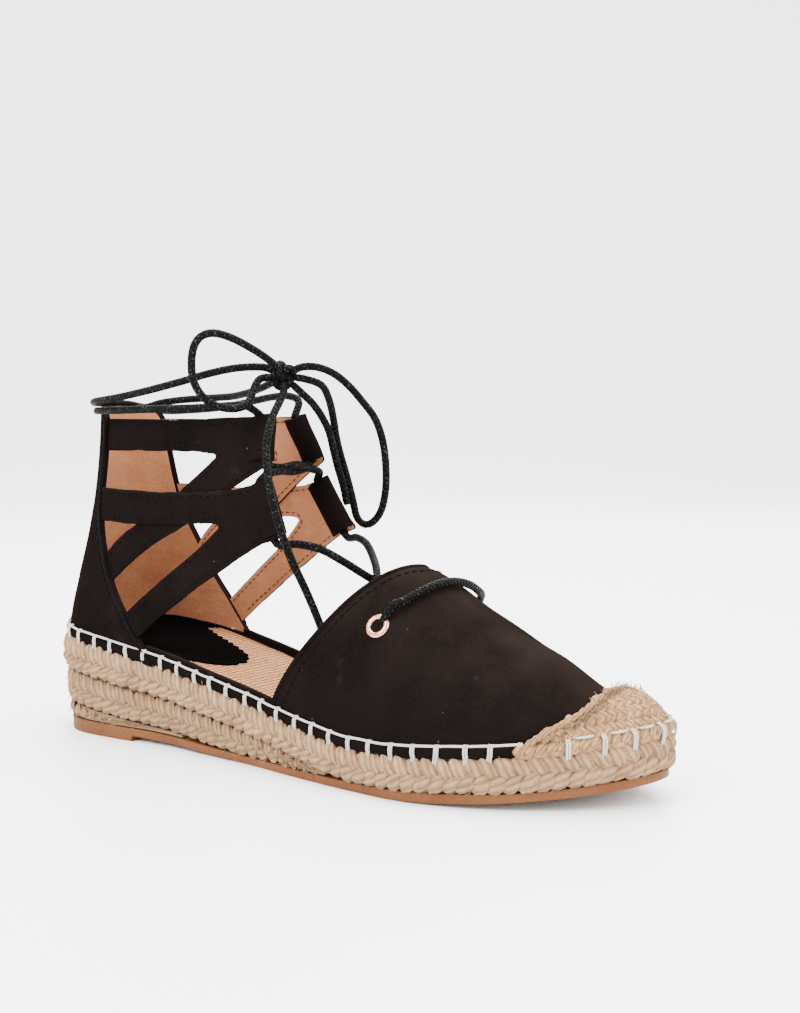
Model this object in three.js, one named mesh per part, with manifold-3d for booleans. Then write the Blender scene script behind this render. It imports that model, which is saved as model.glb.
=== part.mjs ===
// Lace-up espadrille, right shoe, in millimetres.
// The last's own frame runs X from the back of the heel to the toe, +Y to the
// inner (big toe) side and Z up from the floor. The finished group is moved so
// that its origin is the middle of the shoe's footprint.
import * as THREE from 'three';
import { mergeVertices } from 'three/addons/utils/BufferGeometryUtils.js';
import Module from 'manifold-3d';

const wasm = await Module();
wasm.setup();

// ---------------------------------------------------------------- driving sizes
const LENGTH = 256; // sole, back of heel to toe tip
const TIP_SHIFT = 8.5; // the toe tip lies this far to the inner side
const SHIFT_START = 0.55; // fraction of the length where that shift begins
const GAP = 0.3; // between pieces that touch
const SEAT_GAP = 0.45; // between the braid's curved top and what is sewn to it
const WALL = 1.8; // suede and lining together
const BAND_INSET = 1.0; // foxing band, in from the edge of the sole
const BAND_THICK = 2.6;
const BAND_HEIGHT = 3.2;
const RIM_HEIGHT = 5.4; // band and bound edge where the sides are open
const CAP_THICK = 2.0; // woven jute toe cap
const INSOLE_THICK = 2.2;
const LACE_RADIUS = 1.5;
const SPRING = 7.6; // rise of the outsole at the toe tip
const BALL_END = 169; // the outsole leaves the floor here
const HEEL_BREAST = 52; // front face of the heel lift
const WAIST_LIFT = 2.2; // outsole off the floor just in front of that face
const WAIST_END = 132; // and back on it here
const CAGE_FOOT = 28; // the cage's sections are used from here up
const CAGE_FRONT = 128;
const CAGE_TOP = 134;
const VAMP_FROM = 96;
const CAP_FROM = 150;
const BEYOND_WALL = 6; // how far a hollow's cutter reaches past the wall it cuts
const OPEN_FROM = 44; // between these stations the sides are open above the band
const OPEN_TO = 140;
const BEYOND = 60; // any reach past the shoe, for cutting shapes
const RISE = 160; // any height above the shoe
const OVERHANG = 12; // the form that trims the upper's foot, past the sole
const SINK = 3; // forms run this far below their seat before that trim

// Half widths of the sole, times sin(pi u), at x = LENGTH (1 - cos(pi u)) / 2.
const OUTLINE = [
  { u: 0.0, outer: 60.0, inner: 60.0 },
  { u: 0.15, outer: 57.0, inner: 57.0 },
  { u: 0.27, outer: 42.0, inner: 42.0 },
  { u: 0.37, outer: 33.6, inner: 30.0 },
  { u: 0.45, outer: 33.6, inner: 25.0 },
  { u: 0.53, outer: 37.8, inner: 31.3 },
  { u: 0.6, outer: 43.6, inner: 41.3 },
  { u: 0.66, outer: 49.6, inner: 47.1 },
  { u: 0.73, outer: 52.8, inner: 49.0 },
  { u: 0.8, outer: 54.1, inner: 48.0 },
  { u: 0.88, outer: 55.0, inner: 46.0 },
  { u: 1.0, outer: 54.0, inner: 46.0 },
];

// Heights above the floor of the sole's layers along the shoe.
const LAYERS = [
  { x: 0, outsole: 5.0, lowCourse: 12.9, midCourse: 26.2, rimCourse: 38.9 },
  { x: 52, outsole: 5.0, lowCourse: 7.6, midCourse: 20.0, rimCourse: 32.4 },
  { x: 77, outsole: 4.2, lowCourse: 5.9, midCourse: 17.0, rimCourse: 28.3 },
  { x: 117, outsole: 2.9, lowCourse: 2.9, midCourse: 11.0, rimCourse: 20.9 },
  { x: 145, outsole: 2.7, lowCourse: 2.7, midCourse: 6.0, rimCourse: 16.2 },
  { x: 167, outsole: 3.0, lowCourse: 3.0, midCourse: 3.0, rimCourse: 13.7 },
  { x: 218, outsole: 5.4, lowCourse: 5.4, midCourse: 5.4, rimCourse: 16.6 },
  { x: 256, outsole: 10.4, lowCourse: 10.4, midCourse: 10.4, rimCourse: 21.7 },
];

// Vamp over the forefoot: rise above the sole at its ridge, and inset at its foot.
const VAMP = [
  { x: 96, rise: 18.0, inset: 1.5 },
  { x: 110, rise: 26.0, inset: 1.5 },
  { x: 140, rise: 48.0, inset: 1.5 },
  { x: 165, rise: 57.2, inset: 1.5 },
  { x: 190, rise: 43.8, inset: 1.5 },
  { x: 215, rise: 28.8, inset: 1.8 },
  { x: 235, rise: 15.6, inset: 2.4 },
  { x: 247, rise: 10.8, inset: 2.8 },
  { x: 253, rise: 5.6, inset: 3.0 },
  { x: 256, rise: 0.0, inset: 3.0 },
];
const VAMP_FULLNESS = 1.22; // 1 is an elliptic arch, more is a sharper ridge
const RIDGE_SKEW = -2.5; // the ridge stands this far to the outer side
const TOPLINE = { middle: 166.6, side: 123.0, power: 1.83 };
const CAP_EDGE = { middle: 239.6, side: 223.0, power: 6.0 };

// Horizontal sections of the ankle cage, from the sole to its top.
const CAGE = [
  { z: 30, back: 1.2, widestX: 42.0, half: 30.0, frontX: 130.0, frontHalf: 27.0, full: 2.4 },
  { z: 45, back: 3.8, widestX: 40.5, half: 29.8, frontX: 128.0, frontHalf: 26.0, full: 2.25 },
  { z: 60, back: 7.6, widestX: 38.5, half: 28.2, frontX: 126.0, frontHalf: 24.5, full: 2.1 },
  { z: 80, back: 12.6, widestX: 37.5, half: 24.8, frontX: 121.6, frontHalf: 21.3, full: 2.0 },
  { z: 95, back: 15.0, widestX: 37.0, half: 22.0, frontX: 114.0, frontHalf: 18.5, full: 2.0 },
  { z: 109, back: 15.4, widestX: 35.0, half: 18.9, frontX: 110.0, frontHalf: 15.5, full: 2.0 },
  { z: 122, back: 15.3, widestX: 32.5, half: 16.5, frontX: 106.5, frontHalf: 10.2, full: 2.0 },
  { z: 134, back: 15.6, widestX: 32.5, half: 16.0, frontX: 104.0, frontHalf: 8.0, full: 2.0 },
];

// Front edge of the heel counter, and its top, as seen from the side.
const COUNTER_EDGE = [
  { z: 26.0, x: 68.0 },
  { z: 36.0, x: 59.5 },
  { z: 48.0, x: 50.0 },
  { z: 59.0, x: 42.0 },
  { z: 70.0, x: 36.6 },
  { z: 82.5, x: 31.6 },
  { z: 95.0, x: 29.3 },
  { z: 109.0, x: 28.2 },
  { z: 121.0, x: 26.8 },
  { z: 123.6, x: 25.2 },
  { z: 125.6, x: 22.0 },
  { z: 126.6, x: 17.0 },
];

// Straps as seen from the side. Each one's front end leans back by `lean`.
const STRAPS = [
  { backX: 20, backTop: 121.3, backBottom: 109.3, frontX: 100, frontTop: 122.0, frontBottom: 109.3, lean: 0 },
  {
    backX: 98, backTop: 122.0, backBottom: 98.4,
    frontX: 108.8, frontTop: 122.2, frontBottom: 105.0, lean: 4.8,
  },
  { backX: 34, backTop: 67.9, backBottom: 54.9, frontX: 100, frontTop: 118.0, frontBottom: 99.8, lean: 0 },
  { backX: 22, backTop: 94.7, backBottom: 82.5, frontX: 104, frontTop: 97.2, frontBottom: 83.8, lean: 0 },
  {
    backX: 100, backTop: 97.0, backBottom: 70.4,
    frontX: 116.5, frontTop: 98.2, frontBottom: 80.0, lean: 10.4,
  },
  { backX: 42, backTop: 41.3, backBottom: 26.0, frontX: 104, frontTop: 93.2, frontBottom: 73.3, lean: 0 },
];

// Lace tunnels folded into the straps' front ends: axis from top to bottom.
const CASINGS = [
  { topX: 101.6, topZ: 122.1, bottomX: 105.6, bottomZ: 106.4 },
  { topX: 106.4, topZ: 98.0, bottomX: 116.0, bottomZ: 79.6 },
];
const CASING = { width: 9.6, thick: 6.2, inward: 0.9, boreRadius: 2.1 };

const EYELET = {
  x: 168.9, side: 0.67, outerRadius: 4.3, holeRadius: 2.5, barrel: 3.0, flange: 0.7, clear: 1.0,
};
const KNOT = { x: 104, y: 0, z: 137.5, radius: 5.6 };

// ---------------------------------------------------------------- lace routes
const LACE_BAR = [
  [171.4, -28.8, 58.4], [173.0, -25.8, 60.4], [175.4, -22.0, 62.0], [178.0, -15.7, 64.7],
  [179.6, -8.2, 66.5], [180.5, 0.2, 66.5], [180.7, 7.6, 64.9], [179.7, 15.0, 62.1],
  [177.1, 21.2, 58.9], [173.4, 25.8, 56.2],
];
const CROSS_LOWER = [
  [118.2, 19.9, 77.2], [124.5, 17.4, 77.6], [132.0, 13.4, 76.0], [139.0, 7.8, 71.6],
  [146.0, 0.0, 66.4], [152.0, -7.4, 61.4], [157.0, -13.0, 56.6], [160.6, -17.0, 51.6],
];
const CROSS_UPPER = [
  [106.0, 19.0, 100.4], [108.8, 15.0, 101.6], [109.6, 8.0, 103.0],
  [109.2, 0.0, 103.6], [108.6, -6.6, 103.6], [107.0, -11.6, 103.4],
];
const WRAP_OUTER = [
  [101.7, -12.4, 124.2], [98.5, -13.8, 126.2], [91.0, -15.8, 126.4], [80.0, -17.8, 125.8],
  [66.0, -19.0, 125.4], [52.0, -19.2, 125.2], [40.0, -19.0, 124.9], [29.3, -18.2, 124.7],
  [21.6, -15.4, 124.6], [15.9, -9.4, 124.6], [13.3, 0.0, 124.7], [15.4, 8.4, 125.0],
  [19.6, 13.6, 126.2], [24.0, 16.6, 127.8], [31.0, 18.6, 128.8], [40.0, 19.4, 129.4],
  [52.0, 18.4, 129.8], [64.0, 15.4, 130.2], [75.0, 11.2, 131.2], [86.0, 6.8, 132.8], [97.4, 2.4, 135.4],
];
const WRAP_INNER = [
  [101.7, 12.4, 124.2], [100.0, 13.6, 128.0], [94.0, 14.9, 130.2], [85.0, 16.8, 130.0],
  [75.0, 18.6, 128.8], [64.0, 19.8, 127.2], [52.0, 20.4, 125.8], [40.0, 19.8, 125.0],
  [29.3, 18.8, 124.6], [21.6, 19.2, 124.8], [15.2, 15.2, 126.2], [12.8, 9.2, 127.4],
  [11.9, 0.0, 127.6], [14.0, -9.6, 127.8], [21.2, -16.4, 128.2], [29.3, -19.4, 128.8],
  [40.0, -20.0, 130.0], [54.0, -19.0, 132.4], [68.0, -16.8, 135.4], [80.0, -13.8, 138.4],
  [90.0, -9.2, 140.4], [97.6, -3.4, 140.6],
];
const LOOP_OUTER = [
  [104.8, -6.6, 141.8], [104.0, -14.0, 145.6], [101.0, -23.0, 150.0], [98.0, -30.0, 152.0],
  [95.6, -34.4, 150.8], [94.0, -36.6, 147.0], [93.2, -37.0, 141.0], [93.4, -36.2, 135.0],
  [95.0, -34.0, 130.2], [97.2, -30.8, 127.0], [100.0, -25.6, 125.4], [101.8, -20.0, 126.0],
  [101.4, -15.6, 128.6], [100.0, -12.0, 132.2], [99.8, -8.2, 136.2],
];
const LOOP_INNER = [
  [110.6, 2.6, 140.6], [115.0, 6.0, 140.6], [118.6, 11.0, 138.4], [121.8, 16.0, 134.0],
  [125.2, 20.2, 128.0], [128.0, 24.4, 121.4], [129.4, 27.4, 112.4], [129.4, 29.2, 101.4],
  [128.4, 29.6, 92.4], [126.0, 29.2, 85.4], [121.2, 28.6, 81.6], [116.4, 28.4, 83.8],
  [113.8, 28.4, 92.0], [111.6, 27.4, 101.0], [110.6, 25.4, 108.0], [110.6, 22.8, 115.0],
  [111.6, 19.8, 122.0], [113.2, 15.2, 129.0], [113.8, 10.2, 134.0], [111.0, 4.6, 136.2],
];
const END_OUTER = [
  [107.4, -3.9, 131.4], [109.6, -8.6, 128.0], [110.8, -13.8, 122.8], [112.6, -18.2, 117.4],
  [114.6, -22.0, 110.4], [118.2, -25.0, 101.0], [121.8, -26.2, 91.0], [124.6, -25.2, 81.4],
  [127.0, -22.8, 72.2], [129.6, -20.0, 64.0], [132.2, -17.6, 55.8], [134.6, -15.6, 47.6],
  [137.0, -13.8, 38.0], [139.4, -12.4, 29.4], [141.6, -11.4, 23.4],
];
const END_INNER = [
  [108.8, 4.6, 131.2], [110.2, 9.2, 127.4], [110.8, 13.8, 122.6], [111.4, 17.4, 117.0],
  [111.4, 20.0, 110.4], [111.6, 22.6, 103.0], [112.8, 24.4, 96.0], [114.2, 24.8, 89.0],
];

// ---------------------------------------------------------------- materials
const finish = (color, roughness, metalness = 0) => (
  new THREE.MeshStandardMaterial({ color, roughness, metalness })
);
const SUEDE = finish(0x16131a, 0.95);
const JUTE = finish(0xc4a27e, 0.95);
const RUBBER = finish(0x9c6238, 0.6);
const WOVEN = finish(0xd9ad80, 0.9);
const ROSE_GOLD = finish(0xd9a58a, 0.25, 1);
const WAXED_CORD = finish(0x1c1c1e, 0.55);

// ---------------------------------------------------------------- curves
// A smooth curve through a table's rows that never overshoots them.
function curveThrough(rows, across, up) {
  const x = rows.map((row) => row[across]);
  const y = rows.map((row) => row[up]);
  const last = rows.length - 1;
  const width = x.slice(1).map((value, i) => value - x[i]);
  const slope = width.map((w, i) => (y[i + 1] - y[i]) / w);
  const tangent = y.map((_, i) => {
    if (i === 0) return slope[0];
    if (i === last) return slope[last - 1];
    if (slope[i - 1] * slope[i] <= 0) return 0;
    const before = 2 * width[i] + width[i - 1];
    const after = width[i] + 2 * width[i - 1];
    return (before + after) / (before / slope[i - 1] + after / slope[i]);
  });
  return (at) => {
    const p = THREE.MathUtils.clamp(at, x[0], x[last]);
    let i = x.findIndex((value) => value > p) - 1;
    if (i < 0) i = last - 1;
    const t = (p - x[i]) / width[i];
    const t2 = t * t;
    const t3 = t2 * t;
    return (2 * t3 - 3 * t2 + 1) * y[i] + (t3 - 2 * t2 + t) * width[i] * tangent[i]
      + (3 * t2 - 2 * t3) * y[i + 1] + (t3 - t2) * width[i] * tangent[i + 1];
  };
}

const columns = (rows, across) => Object.fromEntries(
  Object.keys(rows[0]).filter((key) => key !== across).map((key) => [key, curveThrough(rows, across, key)]),
);
const outline = columns(OUTLINE, 'u');
const layers = columns(LAYERS, 'x');
const vamp = columns(VAMP, 'x');
const cage = columns(CAGE, 'z');
const counterEdge = columns(COUNTER_EDGE, 'z');

const uAt = (x) => Math.acos(THREE.MathUtils.clamp(1 - (2 * x) / LENGTH, -1, 1)) / Math.PI;
const steps = (count, from, to) => (
  Array.from({ length: count + 1 }, (_, i) => from + ((to - from) * i) / count)
);

// The sole's outline at u, drawn in by inset: x and the y of both edges.
function edgeAt(u, inset) {
  const x = LENGTH / 2 - (LENGTH / 2 - inset) * Math.cos(Math.PI * u);
  const along = THREE.MathUtils.clamp((x / LENGTH - SHIFT_START) / (1 - SHIFT_START), 0, 1);
  const shift = TIP_SHIFT * along * along;
  const s = Math.sin(Math.PI * u);
  return { x, outer: shift - (outline.outer(u) - inset) * s, inner: shift + (outline.inner(u) - inset) * s };
}

// Underside of the outsole: flat under heel lift and ball, raised at waist and toe.
function undersideAt(x) {
  if (x > BALL_END) return SPRING * ((x - BALL_END) / (LENGTH - BALL_END)) ** 2;
  if (x > HEEL_BREAST && x < WAIST_END) {
    return WAIST_LIFT * (1 - (x - HEEL_BREAST) / (WAIST_END - HEEL_BREAST)) ** 1.5;
  }
  return 0;
}

// ---------------------------------------------------------------- solids
// Each level is two rows of points, outer and inner edge; the levels are skinned
// one after the other and the first and last are closed across.
function loft(levels) {
  const rings = levels.map(({ outer, inner }) => [...outer, ...[...inner].reverse()]);
  const size = rings[0].length;
  const half = size / 2;
  const index = [];
  const quad = (a, b, c, d) => index.push(a, b, c, a, c, d);
  for (let k = 0; k < rings.length - 1; k += 1) {
    for (let i = 0; i < size; i += 1) {
      const j = (i + 1) % size;
      quad(k * size + i, k * size + j, (k + 1) * size + j, (k + 1) * size + i);
    }
  }
  const top = (rings.length - 1) * size;
  for (let i = 0; i < half - 1; i += 1) {
    quad(i, size - 1 - i, size - 2 - i, i + 1);
    quad(top + i, top + i + 1, top + size - 2 - i, top + size - 1 - i);
  }
  const geometry = new THREE.BufferGeometry();
  geometry.setAttribute('position', new THREE.Float32BufferAttribute(
    rings.flat().flatMap((p) => [p.x, p.y, p.z]),
    3,
  ));
  geometry.setIndex(index);
  return toSolid(geometry);
}

// A manifold-3d solid from a closed geometry, with its faces turned outwards.
function toSolid(source) {
  const bare = source.clone();
  for (const name of Object.keys(bare.attributes)) {
    if (name !== 'position') bare.deleteAttribute(name);
  }
  const merged = mergeVertices(bare, 1e-3);
  const position = merged.attributes.position;
  const corners = [];
  let volume = 0;
  const [a, b, c] = [new THREE.Vector3(), new THREE.Vector3(), new THREE.Vector3()];
  for (let i = 0; i < merged.index.count; i += 3) {
    const [p, q, r] = [merged.index.getX(i), merged.index.getX(i + 1), merged.index.getX(i + 2)];
    if (p === q || q === r || r === p) continue;
    corners.push([p, q, r]);
    a.fromBufferAttribute(position, p);
    b.fromBufferAttribute(position, q);
    c.fromBufferAttribute(position, r);
    volume += a.dot(b.cross(c));
  }
  const triVerts = new Uint32Array(corners.flatMap(([p, q, r]) => (volume > 0 ? [p, q, r] : [p, r, q])));
  return new wasm.Manifold(new wasm.Mesh({
    numProp: 3,
    vertProperties: new Float32Array(position.array),
    triVerts,
  }));
}

function toGeometry(solid) {
  const mesh = solid.getMesh();
  const geometry = new THREE.BufferGeometry();
  geometry.setAttribute('position', new THREE.Float32BufferAttribute(mesh.vertProperties, 3));
  geometry.setIndex([...mesh.triVerts]);
  geometry.computeVertexNormals();
  return geometry;
}

const joined = (solids) => solids.reduce((sum, solid) => sum.add(solid));

// A flat outline, [across, up] pairs, as a prism along Z, or along Y if upright.
function prism(points, from, to, upright = false) {
  const shape = new THREE.Shape(points.map(([across, up]) => new THREE.Vector2(across, up)));
  const geometry = new THREE.ExtrudeGeometry(shape, { depth: to - from, bevelEnabled: false });
  geometry.translate(0, 0, from);
  if (upright) geometry.rotateX(Math.PI / 2);
  return toSolid(geometry);
}

const circle = (radius, sides) => new THREE.Shape(
  Array.from({ length: sides }, (_, i) => {
    const turn = (2 * Math.PI * i) / sides;
    return new THREE.Vector2(radius * Math.cos(turn), radius * Math.sin(turn));
  }),
);

// A round tube through the points, `pitch` being the length of one step.
function tube(points, radius, sides, pitch) {
  const path = new THREE.CatmullRomCurve3(points.map((p) => new THREE.Vector3(...p)), false, 'centripetal');
  return toSolid(new THREE.ExtrudeGeometry(circle(radius, sides), {
    extrudePath: path,
    steps: Math.max(2, Math.round(path.getLength() / pitch)),
    bevelEnabled: false,
  }));
}

// ---------------------------------------------------------------- sole
// A layer of the sole between two heights, its edge rounded by `round`.
function soleLayer({ toX = LENGTH, inset, round, bottom, top, rows = 26 }) {
  const stations = steps(rows, 0, toX < LENGTH ? uAt(toX) : 1);
  const profile = round > 0 ? [[0, 1], [0.16, 0.28], [0.5, 0], [0.84, 0.28], [1, 1]] : [[0, 0], [1, 0]];
  return loft(profile.map(([up, draw]) => {
    const level = { outer: [], inner: [] };
    for (const u of stations) {
      const edge = edgeAt(u, inset(u) + round * draw);
      const z = THREE.MathUtils.lerp(bottom(edge.x), top(edge.x), up);
      level.outer.push(new THREE.Vector3(edge.x, edge.outer, z));
      level.inner.push(new THREE.Vector3(edge.x, edge.inner, z));
    }
    return level;
  }));
}

const OUTSOLE_INSET = [
  { u: 0, inset: 2.4 }, { u: 0.35, inset: 2.0 }, { u: 0.6, inset: 1.0 }, { u: 1, inset: 0.9 },
];
const INSOLE_INSET = [
  { u: 0, inset: 5.6 }, { u: 0.2, inset: 6.8 }, { u: 0.28, inset: 6.0 }, { u: 0.37, inset: 4.2 },
  { u: 0.55, inset: 4.4 }, { u: 0.7, inset: 5.0 }, { u: 0.8, inset: 6.6 }, { u: 1, inset: 8.4 },
];

function outsoleSolid() {
  const inset = curveThrough(OUTSOLE_INSET, 'u', 'inset');
  const sheet = soleLayer({ inset, round: 0, bottom: undersideAt, top: layers.outsole, rows: 30 });
  const lift = soleLayer({
    toX: HEEL_BREAST, inset, round: 0, bottom: () => 0, top: (x) => layers.outsole(x) - 1, rows: 16,
  });
  return sheet.add(lift);
}

const rimCourse = () => soleLayer({
  inset: () => 0, round: 1.6, bottom: (x) => layers.midCourse(x) + GAP, top: layers.rimCourse,
});
const midCourse = () => soleLayer({
  toX: 156, inset: () => 0.8, round: 1.4, bottom: (x) => layers.lowCourse(x) + GAP, top: layers.midCourse,
});
const lowCourse = () => soleLayer({
  toX: 80, inset: () => 1.6, round: 1.0, bottom: (x) => layers.outsole(x) + GAP, top: layers.lowCourse,
});

const insoleSolid = () => soleLayer({
  inset: curveThrough(INSOLE_INSET, 'u', 'inset'),
  round: 0,
  bottom: (x) => layers.rimCourse(x) + SEAT_GAP,
  top: (x) => layers.rimCourse(x) + SEAT_GAP + INSOLE_THICK,
});

// ---------------------------------------------------------------- upper
// The vamp's own function: a point at station x and arch angle, grown by `grow`.
function vampPoint(u, angle, grow, drop = 0) {
  const station = LENGTH * (1 - Math.cos(Math.PI * u)) / 2;
  const edge = edgeAt(u, vamp.inset(station) - grow);
  const half = Math.max((edge.inner - edge.outer) / 2, 0);
  const rise = Math.max(vamp.rise(station), 0) + grow * Math.min(1, (1 - u) * 12);
  const s = Math.sin(angle);
  return new THREE.Vector3(
    edge.x,
    (edge.inner + edge.outer) / 2 - half * Math.cos(angle) + RIDGE_SKEW * s * s * Math.min(1, half / 30),
    layers.rimCourse(edge.x) + SEAT_GAP - drop + rise * s ** VAMP_FULLNESS,
  );
}

// The same as a closed form from station fromX to the toe, its foot lowered by drop.
function vampForm(grow, fromX, drop = 0) {
  const stations = steps(16, uAt(fromX), 1);
  const level = (angle, lower) => ({
    outer: stations.map((u) => vampPoint(u, angle, grow, lower)),
    inner: stations.map((u) => vampPoint(u, Math.PI - angle, grow, lower)),
  });
  const arch = steps(8, 0, Math.PI / 2).map((angle) => level(angle, 0));
  return loft(drop > 0 ? [level(0, drop), ...arch] : arch);
}

// All that lies in front of a line drawn over the vamp, as a tall prism.
function inFrontOf({ middle, side, power }, ahead = 0) {
  const line = steps(14, -1.3, 1.3).map((across) => {
    const x = middle - (middle - side) * Math.abs(across) ** power + ahead;
    const edge = edgeAt(uAt(Math.max(x, 60)), 0);
    return [x, (edge.inner + edge.outer) / 2 + (across * (edge.inner - edge.outer)) / 2];
  });
  return prism([...line, [LENGTH + BEYOND, BEYOND], [LENGTH + BEYOND, -BEYOND]], 0, RISE);
}

function bandSolid(height, thick, inset) {
  const band = (draw, low, high) => soleLayer({
    inset: () => draw,
    round: 0,
    bottom: (x) => layers.rimCourse(x) + SEAT_GAP + low,
    top: (x) => layers.rimCourse(x) + SEAT_GAP + high,
    rows: 22,
  });
  return band(inset, -SINK, height).subtract(band(inset + thick, -2 * SINK, height + 1));
}

// Half width of the cage at height z and station x, drawn in by inset.
function cageHalf(x, z, inset = 0) {
  const half = cage.half(z) - inset;
  const back = cage.back(z) + inset;
  const widest = cage.widestX(z);
  if (x < widest) {
    return half * Math.max(0, 1 - ((widest - x) / (widest - back)) ** cage.full(z)) ** (1 / cage.full(z));
  }
  const along = (x - widest) / (cage.frontX(z) - widest);
  return half - (cage.half(z) - cage.frontHalf(z)) * along * along;
}

const cageForm = (inset, toX, fromZ, toZ) => loft(steps(8, fromZ, toZ).map((z) => {
  const back = cage.back(z) + inset;
  const widest = cage.widestX(z);
  const round = steps(7, 0, Math.PI / 2).map((turn) => widest - (widest - back) * Math.cos(turn));
  const stations = [...round, ...steps(5, widest, toX).slice(1)];
  return {
    outer: stations.map((x) => new THREE.Vector3(x, -cageHalf(x, z, inset), z)),
    inner: stations.map((x) => new THREE.Vector3(x, cageHalf(x, z, inset), z)),
  };
}));

// Counter and straps as seen from the side, cut right through the shoe.
function cagePattern() {
  const edge = COUNTER_EDGE.map(({ x, z }) => [x, z]);
  const [foot, top] = [edge[0][1], edge.at(-1)[1]];
  const pieces = [prism([[-BEYOND, foot], ...edge, [-BEYOND, top]], -BEYOND, BEYOND, true)];
  for (const s of STRAPS) {
    pieces.push(prism([
      [s.backX, s.backBottom], [s.frontX + s.lean / 2, s.frontBottom],
      [s.frontX - s.lean / 2, s.frontTop], [s.backX, s.backTop],
    ], -BEYOND, BEYOND, true));
  }
  return joined(pieces);
}

// Everything above the sole's top, over the whole outline.
const aboveSole = () => soleLayer({
  inset: () => -OVERHANG, round: 0, bottom: (x) => layers.rimCourse(x) + SEAT_GAP, top: () => RISE, rows: 18,
});

// Centre line of a lace tunnel, on the outer (-1) or inner (1) side of the foot.
function casingAxis(casing, side, spare = 0) {
  const at = (t) => {
    const x = THREE.MathUtils.lerp(casing.topX, casing.bottomX, t);
    const z = THREE.MathUtils.lerp(casing.topZ, casing.bottomZ, t);
    return new THREE.Vector3(x, side * (cageHalf(x, z) - WALL / 2 - CASING.inward), z);
  };
  const length = at(0).distanceTo(at(1));
  return [at(-spare / length), at(0.5), at(1 + spare / length)];
}

function casingSolid(casing, side) {
  const axis = casingAxis(casing, side);
  const down = axis[2].clone().sub(axis[0]).normalize();
  const step = 2;
  const along = new THREE.Vector3(
    step,
    side * (cageHalf(axis[1].x + step, axis[1].z) - cageHalf(axis[1].x, axis[1].z)),
    0,
  );
  const across = along.addScaledVector(down, -along.dot(down)).normalize();
  const through = new THREE.Vector3().crossVectors(across, down);
  const point = (centre, turn) => centre.clone()
    .addScaledVector(across, (CASING.width / 2) * Math.cos(turn))
    .addScaledVector(through, (CASING.thick / 2) * Math.sin(turn));
  return loft(axis.map((centre) => ({
    outer: steps(6, 0, Math.PI).map((turn) => point(centre, turn)),
    inner: steps(6, 0, -Math.PI).map((turn) => point(centre, turn)),
  })));
}

const bore = (casing, side) => {
  const [top, middle, bottom] = casingAxis(casing, side, 4).map((p) => p.toArray());
  return tube([top, middle, bottom], CASING.boreRadius, 8, 9);
};

// Where an eyelet sits on the vamp, and the way its axis points.
function eyeletSeat(side) {
  const u = uAt(EYELET.x);
  const angle = side < 0 ? Math.acos(EYELET.side) : Math.PI - Math.acos(EYELET.side);
  const small = 0.01;
  const centre = vampPoint(u, angle, 0);
  const alongX = vampPoint(u + small, angle, 0).sub(vampPoint(u - small, angle, 0));
  const alongArch = vampPoint(u, angle + small, 0).sub(vampPoint(u, angle - small, 0));
  const axis = alongX.cross(alongArch).normalize();
  if (axis.z < 0) axis.negate();
  return { centre, axis };
}

function placeOnSeat(geometry, { centre, axis }) {
  geometry.rotateX(Math.PI / 2);
  geometry.applyQuaternion(new THREE.Quaternion().setFromUnitVectors(new THREE.Vector3(0, 0, 1), axis));
  geometry.translate(centre.x, centre.y, centre.z);
  return geometry;
}

// Eyelet: a barrel through the wall with a rolled flange on each face.
function eyeletSolid(side) {
  const { holeRadius, outerRadius, barrel, flange } = EYELET;
  const face = EYELET.clear;
  const under = -WALL - face;
  const profile = [
    [holeRadius, under - flange], [outerRadius - 0.4, under - flange], [outerRadius, under - flange / 2],
    [outerRadius, under], [barrel, under], [barrel, face], [outerRadius, face],
    [outerRadius, face + flange / 2], [outerRadius - 0.5, face + flange], [holeRadius, face + flange],
    [holeRadius, under - flange],
  ];
  const lathe = new THREE.LatheGeometry(profile.map(([r, h]) => new THREE.Vector2(r, h)), 12);
  return toSolid(placeOnSeat(lathe, eyeletSeat(side)));
}

function eyeletHole(side) {
  const round = new THREE.CylinderGeometry(EYELET.barrel + GAP, EYELET.barrel + GAP, 12, 12);
  return toSolid(placeOnSeat(round, eyeletSeat(side)));
}

function upperSolid() {
  const capRoom = inFrontOf(CAP_EDGE, -GAP).subtract(vampForm(0, CAP_FROM));
  const vampWall = vampForm(0, VAMP_FROM, SINK)
    .subtract(vampForm(-WALL, VAMP_FROM - BEYOND_WALL, 2 * SINK))
    .intersect(inFrontOf(TOPLINE));
  const cageWall = cageForm(0, CAGE_FRONT, CAGE_FOOT, CAGE_TOP)
    .subtract(cageForm(WALL, CAGE_FRONT + 2 * BEYOND_WALL, CAGE_FOOT - BEYOND_WALL, CAGE_TOP + BEYOND_WALL))
    .intersect(cagePattern());
  const openSides = prism([
    [OPEN_FROM, -BEYOND], [OPEN_TO, -BEYOND], [OPEN_TO, BEYOND], [OPEN_FROM, BEYOND],
  ], 0, RISE);
  const band = bandSolid(BAND_HEIGHT, BAND_THICK, BAND_INSET);
  const rim = bandSolid(RIM_HEIGHT, BAND_THICK - 0.6, BAND_INSET + 0.6).intersect(openSides);
  const parts = [vampWall, cageWall, band, rim];
  const bores = [];
  for (const side of [-1, 1]) {
    for (const casing of CASINGS) {
      parts.push(casingSolid(casing, side));
      bores.push(bore(casing, side));
    }
    bores.push(eyeletHole(side));
  }
  return joined(parts).intersect(aboveSole()).subtract(joined(bores)).subtract(capRoom);
}

const toeCapSolid = () => vampForm(CAP_THICK + GAP, CAP_FROM)
  .subtract(vampForm(GAP, CAP_FROM - BEYOND_WALL, SINK))
  .intersect(inFrontOf(CAP_EDGE));

// ---------------------------------------------------------------- lace
const mirrored = (points) => points.map(([x, y, z]) => [x, -y, z]);
const laceTube = (points, pitch = 9) => tube(points, LACE_RADIUS, 8, pitch);
const laceCross = (points) => laceTube(points, 7).add(laceTube(mirrored(points), 7));

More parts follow.
